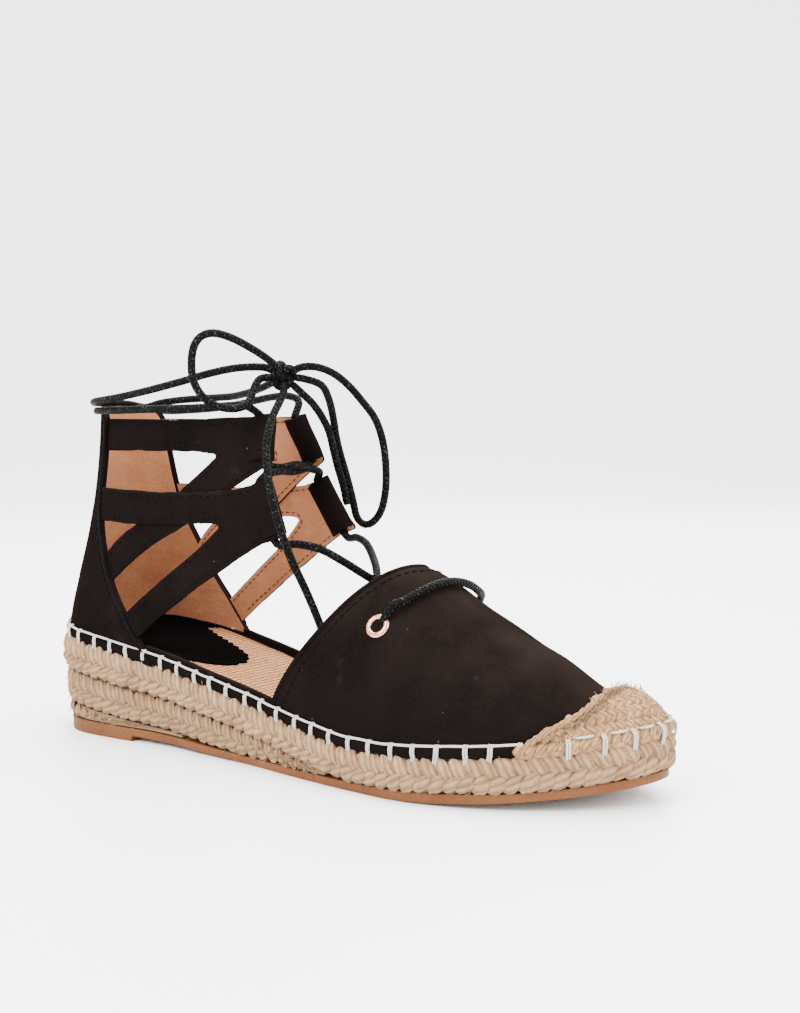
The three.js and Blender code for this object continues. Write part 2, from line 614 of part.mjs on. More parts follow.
function knotSolid() {
  const ball = new THREE.SphereGeometry(KNOT.radius, 12, 8);
  ball.translate(KNOT.x, KNOT.y, KNOT.z);
  return toSolid(ball);
}

// ---------------------------------------------------------------- the shoe
const group = new THREE.Group();
function add(name, solid, material) {
  const mesh = new THREE.Mesh(toGeometry(solid), material);
  mesh.name = name;
  group.add(mesh);
}

add('outsole', outsoleSolid(), RUBBER);
add('braid_low', lowCourse(), JUTE);
add('braid_middle', midCourse(), JUTE);
add('braid_rim', rimCourse(), JUTE);
add('insole', insoleSolid(), WOVEN);
add('upper', upperSolid(), SUEDE);
add('toe_cap', toeCapSolid(), JUTE);
add('eyelet_outer', eyeletSolid(-1), ROSE_GOLD);
add('eyelet_inner', eyeletSolid(1), ROSE_GOLD);
add('lace_bar', laceTube(LACE_BAR, 7), WAXED_CORD);
add('lace_cross_lower', laceCross(CROSS_LOWER), WAXED_CORD);
add('lace_cross_upper', laceCross(CROSS_UPPER), WAXED_CORD);

// The origin: middle of the footprint, on the floor, without the free lace.
const box = new THREE.Box3().setFromObject(group);
const middle = box.getCenter(new THREE.Vector3());
group.position.set(-middle.x, -middle.y, -box.min.z);

add('lace_wrap_outer', laceTube(WRAP_OUTER), WAXED_CORD);
add('lace_wrap_inner', laceTube(WRAP_INNER), WAXED_CORD);
add('lace_knot', knotSolid(), WAXED_CORD);
add('lace_loop_outer', laceTube(LOOP_OUTER), WAXED_CORD);
add('lace_loop_inner', laceTube(LOOP_INNER), WAXED_CORD);
add('lace_end_outer', laceTube(END_OUTER), WAXED_CORD);
add('lace_end_inner', laceTube(END_INNER), WAXED_CORD);

export default group;
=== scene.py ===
"""Looks for a lace-up espadrille: braided jute sole, strapped suede ankle, woven toe cap and tied lace."""

import bisect  # noqa: E402
import math  # noqa: E402
import random  # noqa: E402

import bmesh  # noqa: E402
import bpy  # noqa: E402
from mathutils import Matrix, Vector  # noqa: E402


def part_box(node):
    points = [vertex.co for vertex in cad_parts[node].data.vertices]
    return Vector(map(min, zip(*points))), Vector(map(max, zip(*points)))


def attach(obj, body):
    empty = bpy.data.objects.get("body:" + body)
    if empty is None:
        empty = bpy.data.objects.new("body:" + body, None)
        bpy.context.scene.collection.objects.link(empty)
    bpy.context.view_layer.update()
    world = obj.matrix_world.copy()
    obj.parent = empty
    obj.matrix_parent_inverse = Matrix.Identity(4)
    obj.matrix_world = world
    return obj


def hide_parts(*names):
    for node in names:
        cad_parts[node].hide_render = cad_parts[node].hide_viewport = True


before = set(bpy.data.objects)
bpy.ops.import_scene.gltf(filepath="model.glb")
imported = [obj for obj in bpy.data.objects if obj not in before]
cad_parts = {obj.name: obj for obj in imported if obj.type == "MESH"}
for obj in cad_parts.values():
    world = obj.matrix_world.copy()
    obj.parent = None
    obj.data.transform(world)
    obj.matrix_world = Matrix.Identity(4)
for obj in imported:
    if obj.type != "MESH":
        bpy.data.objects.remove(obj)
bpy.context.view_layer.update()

bl_info = {
    "name": "Espadrille",
    "version": (1, 0, 0),
    "blender": (4, 5, 0),
    "location": "View3D > Sidebar > Espadrille",
    "description": "Models a lace-up espadrille piece by piece over its frame",
    "category": "Object",
}

# ------------------------------------------------------------------ sizes, in millimetres
# X runs from the back of the heel to the toe, +Y to the inner side, Z up from the floor.
MM = 0.001
LENGTH = 256.0
TIP_SHIFT = 8.5
SHIFT_START = 0.55
GAP = 0.3
SEAT_GAP = 0.45
WALL = 1.6
SPRING = 7.6
BALL_END = 169.0
HEEL_BREAST = 52.0
WAIST_LIFT = 2.2
WAIST_END = 132.0
CAP_THICK = 2.0
INSOLE_THICK = 2.2
LACE_RADIUS = 1.5

# Half widths of the sole, times sin(pi u), at x = LENGTH (1 - cos(pi u)) / 2.
OUTLINE = (
    {"u": 0.0, "outer": 60.0, "inner": 60.0}, {"u": 0.15, "outer": 57.0, "inner": 57.0},
    {"u": 0.27, "outer": 42.0, "inner": 42.0}, {"u": 0.37, "outer": 33.6, "inner": 30.0},
    {"u": 0.45, "outer": 33.6, "inner": 25.0}, {"u": 0.53, "outer": 37.8, "inner": 31.3},
    {"u": 0.6, "outer": 43.6, "inner": 41.3}, {"u": 0.66, "outer": 49.6, "inner": 47.1},
    {"u": 0.73, "outer": 52.8, "inner": 49.0}, {"u": 0.8, "outer": 54.1, "inner": 48.0},
    {"u": 0.88, "outer": 55.0, "inner": 46.0}, {"u": 1.0, "outer": 54.0, "inner": 46.0},
)
LAYERS = (
    {"x": 0, "outsole": 5.0, "low": 12.9, "mid": 26.2, "rim": 38.9},
    {"x": 52, "outsole": 5.0, "low": 7.6, "mid": 20.0, "rim": 32.4},
    {"x": 77, "outsole": 4.2, "low": 5.9, "mid": 17.0, "rim": 28.3},
    {"x": 117, "outsole": 2.9, "low": 2.9, "mid": 11.0, "rim": 20.9},
    {"x": 145, "outsole": 2.7, "low": 2.7, "mid": 6.0, "rim": 16.2},
    {"x": 167, "outsole": 3.0, "low": 3.0, "mid": 3.0, "rim": 13.7},
    {"x": 218, "outsole": 5.4, "low": 5.4, "mid": 5.4, "rim": 16.6},
    {"x": 256, "outsole": 10.4, "low": 10.4, "mid": 10.4, "rim": 21.7},
)
VAMP = (
    {"x": 96, "rise": 18.0, "inset": 1.5}, {"x": 110, "rise": 26.0, "inset": 1.5},
    {"x": 140, "rise": 48.0, "inset": 1.5}, {"x": 165, "rise": 57.2, "inset": 1.5},
    {"x": 190, "rise": 43.8, "inset": 1.5}, {"x": 215, "rise": 28.8, "inset": 1.8},
    {"x": 235, "rise": 15.6, "inset": 2.4}, {"x": 247, "rise": 10.8, "inset": 2.8},
    {"x": 253, "rise": 5.6, "inset": 3.0}, {"x": 256, "rise": 0.0, "inset": 3.0},
)
VAMP_FULLNESS = 1.22
RIDGE_SKEW = -2.5
TOPLINE = {"middle": 166.6, "side": 123.0, "power": 1.83}
CAP_EDGE = {"middle": 239.6, "side": 223.0, "power": 6.0}

CAGE = (
    {"z": 30, "back": 1.2, "widest": 42.0, "half": 30.0, "front": 130.0, "front_half": 27.0, "full": 2.4},
    {"z": 45, "back": 3.8, "widest": 40.5, "half": 29.8, "front": 128.0, "front_half": 26.0, "full": 2.25},
    {"z": 60, "back": 7.6, "widest": 38.5, "half": 28.2, "front": 126.0, "front_half": 24.5, "full": 2.1},
    {"z": 80, "back": 12.6, "widest": 37.5, "half": 24.8, "front": 121.6, "front_half": 21.3, "full": 2.0},
    {"z": 95, "back": 15.0, "widest": 37.0, "half": 22.0, "front": 114.0, "front_half": 18.5, "full": 2.0},
    {"z": 109, "back": 15.4, "widest": 35.0, "half": 18.9, "front": 110.0, "front_half": 15.5, "full": 2.0},
    {"z": 122, "back": 15.3, "widest": 32.5, "half": 16.5, "front": 106.5, "front_half": 10.2, "full": 2.0},
    {"z": 134, "back": 15.6, "widest": 32.5, "half": 16.0, "front": 104.0, "front_half": 8.0, "full": 2.0},
)
COUNTER_EDGE = (
    {"z": 26.0, "x": 68.0}, {"z": 36.0, "x": 59.5}, {"z": 48.0, "x": 50.0}, {"z": 59.0, "x": 42.0},
    {"z": 70.0, "x": 36.6}, {"z": 82.5, "x": 31.6}, {"z": 95.0, "x": 29.3}, {"z": 109.0, "x": 28.2},
    {"z": 121.0, "x": 26.8}, {"z": 123.6, "x": 25.2}, {"z": 125.6, "x": 22.0}, {"z": 126.6, "x": 17.0},
)
# Straps as seen from the side: upper strap with its slanted branch, then the lower one, (x, z).
UPPER_STRAPS = (
    (21, 121.2), (45, 121.1), (61, 121.0), (76, 121.4), (91, 122.0), (106.0, 122.2), (107.3, 120.6),
    (111.2, 106.6), (110.4, 105.6), (101.7, 100.8), (94.6, 96.3), (75.7, 83.0), (69.1, 79.4),
    (61.7, 75.6), (54.3, 70.8), (46.8, 65.0), (40.2, 59.2), (34.0, 54.5), (31.5, 63.0), (34.6, 67.6),
    (37.7, 71.2), (40.6, 74.6), (45.0, 78.2), (51.7, 82.2), (63.0, 89.6), (71.0, 94.9), (80.6, 102.9),
    (85.8, 107.6), (85.2, 108.6), (82.4, 109.0), (75.3, 109.6), (63.5, 109.7), (47.0, 109.7), (23, 109.5),
)
LOWER_STRAPS = (
    (22, 95.0), (41.7, 94.4), (58.7, 94.0), (74.6, 94.2), (85.9, 94.9), (97.0, 96.0), (106.2, 97.9),
    (107.8, 96.9), (121.2, 81.6), (121.0, 80.6), (112.9, 77.6), (107.7, 74.7), (101.1, 70.6),
    (93.0, 65.4), (83.2, 59.1), (74.5, 52.9), (65.5, 46.6), (57.6, 40.2), (50.0, 33.0), (44.0, 36.0),
    (42.0, 41.4), (49.3, 47.2), (56.7, 53.2), (64.2, 59.0), (71.6, 64.7), (78.6, 69.8), (84.8, 74.7),
    (90.7, 80.2), (92.8, 82.4), (91.6, 83.5), (84.1, 83.6), (76.5, 83.1), (60.6, 82.4), (48.2, 82.1),
    (39.5, 82.5), (24, 83.0),
)
CASINGS = (
    {"top_x": 101.6, "top_z": 122.1, "bottom_x": 105.6, "bottom_z": 106.4},
    {"top_x": 106.4, "top_z": 98.0, "bottom_x": 116.0, "bottom_z": 79.6},
)
CASING_WIDTH, CASING_THICK, CASING_INWARD = 9.6, 5.6, 0.9
EYELET_X, EYELET_SIDE = 168.9, 0.67
KNOT = (104.0, 0.0, 137.5)

# Lace routes over the shoe.
LACE_BAR = (
    (171.4, -28.8, 58.4), (173.0, -25.8, 60.4), (175.4, -22.0, 62.0), (178.0, -15.7, 64.7),
    (179.6, -8.2, 66.5), (180.5, 0.2, 66.5), (180.7, 7.6, 64.9), (179.7, 15.0, 62.1),
    (177.1, 21.2, 58.9), (173.4, 25.8, 56.2),
)
CROSS_LOWER = (
    (118.2, 19.9, 77.2), (124.5, 17.4, 77.6), (132.0, 13.4, 76.0), (139.0, 7.8, 71.6),
    (146.0, 0.0, 66.4), (152.0, -7.4, 61.4), (157.0, -13.0, 56.6), (160.6, -17.0, 51.6),
)
CROSS_UPPER = (
    (106.0, 19.0, 100.4), (108.8, 15.0, 101.6), (109.6, 8.0, 103.0),
    (109.2, 0.0, 103.6), (108.6, -6.6, 103.6), (107.0, -11.6, 103.4),
)
WRAP_OUTER = (
    (101.7, -12.4, 124.2), (98.5, -13.8, 126.2), (91.0, -15.8, 126.4), (80.0, -17.8, 125.8),
    (66.0, -19.0, 125.4), (52.0, -19.2, 125.2), (40.0, -19.0, 124.9), (29.3, -18.2, 124.7),
    (21.6, -15.4, 124.6), (15.9, -9.4, 124.6), (13.3, 0.0, 124.7), (15.4, 8.4, 125.0),
    (19.6, 13.6, 126.2), (24.0, 16.6, 127.8), (31.0, 18.6, 128.8), (40.0, 19.4, 129.4),
    (52.0, 18.4, 129.8), (64.0, 15.4, 130.2), (75.0, 11.2, 131.2), (86.0, 6.8, 132.8), (97.4, 2.4, 135.4),
)
WRAP_INNER = (
    (101.7, 12.4, 124.2), (100.0, 13.6, 128.0), (94.0, 14.9, 130.2), (85.0, 16.8, 130.0),
    (75.0, 18.6, 128.8), (64.0, 19.8, 127.2), (52.0, 20.4, 125.8), (40.0, 19.8, 125.0),
    (29.3, 18.8, 124.6), (21.6, 19.2, 124.8), (15.2, 15.2, 126.2), (12.8, 9.2, 127.4),
    (11.9, 0.0, 127.6), (14.0, -9.6, 127.8), (21.2, -16.4, 128.2), (29.3, -19.4, 128.8),
    (40.0, -20.0, 130.0), (54.0, -19.0, 132.4), (68.0, -16.8, 135.4), (80.0, -13.8, 138.4),
    (90.0, -9.2, 140.4), (97.6, -3.4, 140.6),
)
LOOP_OUTER = (
    (104.8, -6.6, 141.8), (104.0, -14.0, 145.6), (101.0, -23.0, 150.0), (98.0, -30.0, 152.0),
    (95.6, -34.4, 150.8), (94.0, -36.6, 147.0), (93.2, -37.0, 141.0), (93.4, -36.2, 135.0),
    (95.0, -34.0, 130.2), (97.2, -30.8, 127.0), (100.0, -25.6, 125.4), (101.8, -20.0, 126.0),
    (101.4, -15.6, 128.6), (100.0, -12.0, 132.2), (99.8, -8.2, 136.2),
)
LOOP_INNER = (
    (110.6, 2.6, 140.6), (115.0, 6.0, 140.6), (118.6, 11.0, 138.4), (121.8, 16.0, 134.0),
    (125.2, 20.2, 128.0), (128.0, 24.4, 121.4), (129.4, 27.4, 112.4), (129.4, 29.2, 101.4),
    (128.4, 29.6, 92.4), (126.0, 29.2, 85.4), (121.2, 28.6, 81.6), (116.4, 28.4, 83.8),
    (113.8, 28.4, 92.0), (111.6, 27.4, 101.0), (110.6, 25.4, 108.0), (110.6, 22.8, 115.0),
    (111.6, 19.8, 122.0), (113.2, 15.2, 129.0), (113.8, 10.2, 134.0), (111.0, 4.6, 136.2),
)
END_OUTER = (
    (107.4, -3.9, 131.4), (109.6, -8.6, 128.0), (110.8, -13.8, 122.8), (112.6, -18.2, 117.4),
    (114.6, -22.0, 110.4), (118.2, -25.0, 101.0), (121.8, -26.2, 91.0), (124.6, -25.2, 81.4),
    (127.0, -22.8, 72.2), (129.6, -20.0, 64.0), (132.2, -17.6, 55.8), (134.6, -15.6, 47.6),
    (137.0, -13.8, 38.0), (139.4, -12.4, 29.4), (141.6, -11.4, 23.4),
)
END_INNER = (
    (108.8, 4.6, 131.2), (110.2, 9.2, 127.4), (110.8, 13.8, 122.6), (111.4, 17.4, 117.0),
    (111.4, 20.0, 110.4), (111.6, 22.6, 103.0), (112.8, 24.4, 96.0), (114.2, 24.8, 89.0),
)


# ------------------------------------------------------------------ curves of the last
def lerp(a, b, t):
    return a + (b - a) * t


def smooth(t):
    t = min(max(t, 0.0), 1.0)
    return t * t * (3 - 2 * t)


def curve_through(rows, across, up):
    """A smooth curve through a table's rows that never overshoots them."""
    x = [row[across] for row in rows]
    y = [row[up] for row in rows]
    last = len(rows) - 1
    width = [x[i + 1] - x[i] for i in range(last)]
    slope = [(y[i + 1] - y[i]) / width[i] for i in range(last)]
    tangent = [slope[0]]
    for i in range(1, last):
        if slope[i - 1] * slope[i] <= 0:
            tangent.append(0.0)
        else:
            before, after = 2 * width[i] + width[i - 1], width[i] + 2 * width[i - 1]
            tangent.append((before + after) / (before / slope[i - 1] + after / slope[i]))
    tangent.append(slope[-1])

    def at(value):
        p = min(max(value, x[0]), x[last])
        i = min(bisect.bisect_right(x, p) - 1, last - 1)
        t = (p - x[i]) / width[i]
        t2, t3 = t * t, t * t * t
        return ((2 * t3 - 3 * t2 + 1) * y[i] + (t3 - 2 * t2 + t) * width[i] * tangent[i]
                + (3 * t2 - 2 * t3) * y[i + 1] + (t3 - t2) * width[i] * tangent[i + 1])

    return at


def columns(rows, across):
    return {key: curve_through(rows, across, key) for key in rows[0] if key != across}


outline = columns(OUTLINE, "u")
layers = columns(LAYERS, "x")
vamp = columns(VAMP, "x")
cage = columns(CAGE, "z")
counter_edge = columns(COUNTER_EDGE, "z")["x"]


def u_at(x):
    return math.acos(min(max(1 - 2 * x / LENGTH, -1), 1)) / math.pi


def edge_at(u, inset=0.0):
    """The sole's outline at u, drawn in by inset: x, and y of the outer and the inner edge."""
    x = LENGTH / 2 - (LENGTH / 2 - inset) * math.cos(math.pi * u)
    along = min(max((x / LENGTH - SHIFT_START) / (1 - SHIFT_START), 0), 1)
    shift = TIP_SHIFT * along * along
    s = math.sin(math.pi * u)
    return x, shift - (outline["outer"](u) - inset) * s, shift + (outline["inner"](u) - inset) * s


def underside(x):
    if x > BALL_END:
        return SPRING * ((x - BALL_END) / (LENGTH - BALL_END)) ** 2
    if HEEL_BREAST < x < WAIST_END:
        return WAIST_LIFT * (1 - (x - HEEL_BREAST) / (WAIST_END - HEEL_BREAST)) ** 1.5
    return 0.0


def seat(x):
    """Top of the sole, where the upper is sewn on."""
    return layers["rim"](x) + SEAT_GAP


class Contour:
    """The sole's outline drawn in, from the heel's middle round the outer side and the toe, and back."""

    def __init__(self, inset=0.0, half=260):
        rows = [edge_at(i / half, inset) for i in range(half + 1)]
        points = [(x, outer) for x, outer, _ in rows] + [(x, inner) for x, _, inner in reversed(rows[1:-1])]
        points.append(points[0])
        self.points = points
        self.along = [0.0]
        for (ax, ay), (bx, by) in zip(points, points[1:]):
            self.along.append(self.along[-1] + math.hypot(bx - ax, by - ay))
        self.length = self.along[-1]

    def spot(self, a):
        a %= self.length
        i = min(max(bisect.bisect_right(self.along, a) - 1, 0), len(self.points) - 2)
        span = self.along[i + 1] - self.along[i]
        t = (a - self.along[i]) / span if span else 0.0
        (ax, ay), (bx, by) = self.points[i], self.points[i + 1]
        return ax + (bx - ax) * t, ay + (by - ay) * t

    def at(self, a, reach=1.6):
        """x, y and the outward direction at the length a along the outline."""
        x, y = self.spot(a)
        (px, py), (qx, qy) = self.spot(a - reach), self.spot(a + reach)
        size = math.hypot(qx - px, qy - py) or 1.0
        return x, y, (qy - py) / size, -(qx - px) / size

    def length_to(self, x, side):
        """Length along the outline to station x on the outer (-1) or inner (1) side."""
        half = len(self.points) // 2
        if side < 0:
            i = min(range(half + 1), key=lambda k: abs(self.points[k][0] - x))
        else:
            i = min(range(half, len(self.points)), key=lambda k: abs(self.points[k][0] - x))
        return self.along[i]


ROUND = Contour()


def vamp_point(u, angle, grow=0.0):
    """The vamp's own surface at station u and arch angle, grown by grow."""
    station = LENGTH * (1 - math.cos(math.pi * u)) / 2
    x, outer, inner = edge_at(u, vamp["inset"](station) - grow)
    half = max((inner - outer) / 2, 0.0)
    rise = max(vamp["rise"](station), 0.0) + grow * min(1.0, (1 - u) * 12)
    s = math.sin(angle)
    y = (inner + outer) / 2 - half * math.cos(angle) + RIDGE_SKEW * s * s * min(1.0, half / 30)
    return Vector((x, y, seat(x) + rise * max(s, 0.0) ** VAMP_FULLNESS))


def line_x(line, x, y):
    """Station of a line drawn over the vamp, at the lateral place of (x, y)."""
    _, outer, inner = edge_at(u_at(max(x, 60)), 0.0)
    across = (y - (outer + inner) / 2) / max((inner - outer) / 2, 1e-6)
    return line["middle"] - (line["middle"] - line["side"]) * abs(across) ** line["power"]


def vamp_start(line, angle, grow=0.0):
    """u at which the line crosses the vamp's arch angle."""
    low, high = u_at(100), 0.999
    for _ in range(36):
        mid = (low + high) / 2
        p = vamp_point(mid, angle, grow)
        if p.x > line_x(line, p.x, p.y):
            high = mid
        else:
            low = mid
    return high


def surface_normal(function, a, b, step_a, step_b):
    """Outward direction of a surface, by small steps."""
    along = function(a + step_a, b) - function(a - step_a, b)
    across = function(a, b + step_b) - function(a, b - step_b)
    n = along.cross(across)
    return n.normalized() if n.length > 1e-9 else Vector((0, 0, 1))


def cage_half(x, z, inset=0.0):
    half = cage["half"](z) - inset
    back, widest, full = cage["back"](z) + inset, cage["widest"](z), cage["full"](z)
    if x < widest:
        return half * max(0.0, 1 - (max(widest - x, 0) / (widest - back)) ** full) ** (1 / full)
    along = (x - widest) / (cage["front"](z) - widest)
    return half - (cage["half"](z) - cage["front_half"](z)) * along * along


def casing_axis(casing, side, spare=0.0, count=6):
    def at(t):
        x = lerp(casing["top_x"], casing["bottom_x"], t)
        z = lerp(casing["top_z"], casing["bottom_z"], t)
        return Vector((x, side * (cage_half(x, z) - 0.9 - CASING_INWARD), z))

    length = (at(1) - at(0)).length
    return [at(lerp(-spare / length, 1 + spare / length, i / count)) for i in range(count + 1)]


# The frame's origin is the middle of the footprint; the braid's rim tells where the heel lies.
_low, _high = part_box("braid_rim")
_outer_most = min(edge_at(i / 26)[1] for i in range(27))
SHIFT = Vector((_low.x / MM, _low.y / MM - _outer_most, 0.0))


def placed(p):
    return (Vector(p) + SHIFT) * MM


# ------------------------------------------------------------------ mesh making
class Shape:
    """Points, faces, a UV corner each and a material slot, gathered before they become a piece."""

    def __init__(self):
        self.points, self.faces, self.corners, self.slots = [], [], [], []

    def face(self, corners, uvs, slot=0):
        self.faces.append(corners)
        self.corners.append(uvs)
        self.slots.append(slot)

    def piece(self, name, materials, angle=None):
        mesh = bpy.data.meshes.new(name)
        mesh.from_pydata([placed(p) for p in self.points], [], self.faces)
        layer = mesh.uv_layers.new(name="UVMap")
        flat = [value for uvs in self.corners for uv in uvs for value in uv]
        layer.data.foreach_set("uv", flat)
        mesh.polygons.foreach_set("material_index", self.slots)
        mesh.polygons.foreach_set("use_smooth", [True] * len(self.faces))
        for material in materials:
            mesh.materials.append(material)
        mesh.validate()
        piece = bpy.data.objects.new(name, mesh)
        bpy.context.scene.collection.objects.link(piece)
        if angle is not None:
            only(piece)
            bpy.ops.object.shade_smooth_by_angle(angle=math.radians(angle))
        return piece


def only(piece):
    """Selects one piece and makes it the active one."""
    bpy.ops.object.select_all(action="DESELECT")
    piece.select_set(True)
    bpy.context.view_layer.objects.active = piece


def curve_points(points, pitch):
    """Evenly spaced points on a smooth curve through the given ones."""
    p = [Vector(q) for q in points]
    p = [2 * p[0] - p[1], *p, 2 * p[-1] - p[-2]]
    fine = []
    for i in range(1, len(p) - 2):
        a, b, c, d = p[i - 1:i + 3]
        for k in range(12):
            t = k / 12
            fine.append(0.5 * ((2 * b) + (c - a) * t + (2 * a - 5 * b + 4 * c - d) * t * t
                               + (3 * b - a - 3 * c + d) * t ** 3))
    fine.append(p[-2])
    return spaced(fine, pitch)


def spaced(points, pitch):
    """The same line in equal steps of about pitch."""
    along = [0.0]
    for a, b in zip(points, points[1:]):
        along.append(along[-1] + (b - a).length)
    count = max(2, round(along[-1] / pitch))
    out = []
    j = 0
    for i in range(count + 1):
        s = along[-1] * i / count
        while j < len(along) - 2 and along[j + 1] < s:
            j += 1
        span = along[j + 1] - along[j]
        out.append(points[j].lerp(points[j + 1], (s - along[j]) / span if span else 0))
    return out


def line_length(points):
    return sum((b - a).length for a, b in zip(points, points[1:]))


def tangents(path):
    last = len(path) - 1
    return [(path[min(i + 1, last)] - path[max(i - 1, 0)]).normalized() for i in range(last + 1)]


def carried(path):
    """Directions square to the path that turn as little as they can along it."""
    t = tangents(path)
    n = t[0].orthogonal().normalized()
    out = [n]
    for a, b in zip(t, t[1:]):
        n = (a.rotation_difference(b) @ n)
        n = (n - b * n.dot(b)).normalized()
        out.append(n)
    return out


def sweep(shape, path, width, depth=None, sides=8, ups=None, slot=0, lobes=0, twist=0.0, tip=1.0,
          start=0.0):
    """A tube along the path: half width across, half depth along ups; lobes make it a twisted strand."""
    depth = width if depth is None else depth
    ups = carried(path) if ups is None else ups
    t = tangents(path)
    count = len(path)
    base = len(shape.points)
    run = start
    runs = []
    for i, p in enumerate(path):
        if i:
            run += (p - path[i - 1]).length
        runs.append(run)
        k = tip if i in (0, count - 1) else 1.0
        n = (ups[i] - t[i] * ups[i].dot(t[i])).normalized()
        b = t[i].cross(n)
        w = width(i / (count - 1)) if callable(width) else width
        d = depth(i / (count - 1)) if callable(depth) else depth
        for j in range(sides):
            turn = 2 * math.pi * j / sides
            bump = 1 + (0.16 * math.cos(lobes * turn + twist * run) if lobes else 0.0)
            shape.points.append(p + b * (w * k * bump * math.cos(turn)) + n * (d * k * bump * math.sin(turn)))
    for i in range(count - 1):
        for j in range(sides):
            a, b = base + i * sides + j, base + i * sides + (j + 1) % sides
            u0, u1 = j / sides, (j + 1) / sides
            shape.face((a, a + sides, b + sides, b),
                       ((u0, runs[i]), (u0, runs[i + 1]), (u1, runs[i + 1]), (u1, runs[i])), slot)
    for first, order in ((base, 1), (base + (count - 1) * sides, -1)):
        ring = [first + j for j in range(sides)][::order]
        shape.face(tuple(ring), tuple((0.5, runs[0]) for _ in ring), slot)


def sweep_section(shape, stations, section, closed=False, slot=0):
    """A closed section of (out, up) offsets carried along stations of (point, out, up)."""
    base, size, count = len(shape.points), len(section), len(stations)
    run, runs = 0.0, []
    for i, (p, out, up) in enumerate(stations):
        if i:
            run += (p - stations[i - 1][0]).length
        runs.append(run)
        shape.points.extend(p + out * o + up * h for o, h in section)
    around = [0.0]
    for (ax, ay), (bx, by) in zip(section, section[1:] + section[:1]):
        around.append(around[-1] + math.hypot(bx - ax, by - ay))
    for i in range(count if closed else count - 1):
        k = (i + 1) % count
        end = runs[k] if k else run + (stations[0][0] - stations[-1][0]).length
        for j in range(size):
            a, b = base + i * size + j, base + i * size + (j + 1) % size
            c, d = base + k * size + (j + 1) % size, base + k * size + j
            shape.face((a, b, c, d), ((around[j], runs[i]), (around[j + 1], runs[i]),
                                      (around[j + 1], end), (around[j], end)), slot)
    if not closed:
        for first, order in ((base, -1), (base + (count - 1) * size, 1)):
            ring = [first + j for j in range(size)][::order]
            shape.face(tuple(ring), tuple((0.0, 0.0) for _ in ring), slot)


def slab(shape, flat, faces, outer, inner, bulge=0.3, slots=(0, 1), flip=False):
    """A sewn layer: flat points with faces, put on an outer and an inner surface, its rim rounded."""
    base, count = len(shape.points), len(flat)
    tops = [outer(p) for p in flat]
    unders = [inner(p) for p in flat]
    shape.points.extend(tops)
    shape.points.extend(unders)
    edges = {}
    for face in faces:
        for a, b in zip(face, face[1:] + face[:1]):
            edges[(a, b)] = True
    rim = [(a, b) for a, b in edges if (b, a) not in edges]
    middle_of = {}
    inward = {}
    for face in faces:
        centre = sum((tops[i] for i in face), Vector()) / len(face)
        for i in face:
            inward.setdefault(i, []).append(centre)
    for a, b in rim:
        for i in (a, b):
            if i in middle_of:
                continue
            away = tops[i] - sum(inward[i], Vector()) / len(inward[i])
            through = (tops[i] - unders[i]).normalized()
            away -= through * away.dot(through)
            away = away.normalized() if away.length > 1e-6 else Vector()
            middle_of[i] = len(shape.points)
            shape.points.append((tops[i] + unders[i]) / 2 + away * bulge)
    for face in faces:
        uvs = tuple((flat[i][0], flat[i][1]) for i in face)
        top = tuple(base + i for i in face)
        under = tuple(base + count + i for i in face)
        if flip:
            shape.face(top[::-1], uvs[::-1], slots[0])
            shape.face(under, uvs, slots[1])
        else:
            shape.face(top, uvs, slots[0])
            shape.face(under[::-1], uvs[::-1], slots[1])
    for a, b in rim:
        ma, mb = middle_of[a], middle_of[b]
        ua, ub = (flat[a][0], flat[a][1]), (flat[b][0], flat[b][1])
        first = (base + b, base + a, ma, mb)
        second = (mb, ma, base + count + a, base + count + b)
        for quad in (first, second):
            uvs = (ub, ua, ua, ub)
            if flip:
                shape.face(quad[::-1], uvs[::-1], slots[0])
            else:
                shape.face(quad, uvs, slots[0])
    return tops


def grid_faces(rows, across):
    return [(i * across + j, i * across + j + 1, (i + 1) * across + j + 1, (i + 1) * across + j)
            for i in range(rows - 1) for j in range(across - 1)]


def inside(x, y, polygon):
    odd = False
    for (ax, ay), (bx, by) in zip(polygon, polygon[1:] + polygon[:1]):
        if (ay > y) != (by > y) and x < (bx - ax) * (y - ay) / (by - ay) + ax:
            odd = not odd
    return odd


def rounded(polygon, steps=3):
    """The same outline with its corners cut round."""
    points = [Vector((x, y)) for x, y in polygon]
    out = []
    for i, p in enumerate(points):
        a, b = points[i - 1], points[(i + 1) % len(points)]
        la, lb = (a - p).length, (b - p).length
        reach = min(la, lb, 5.0) * 0.45
        start, end = p + (a - p) * (reach / la), p + (b - p) * (reach / lb)
        for k in range(steps + 1):
            t = k / steps
            q = start * (1 - t) ** 2 + p * 2 * t * (1 - t) + end * t * t
            out.append((q.x, q.y))
    return out


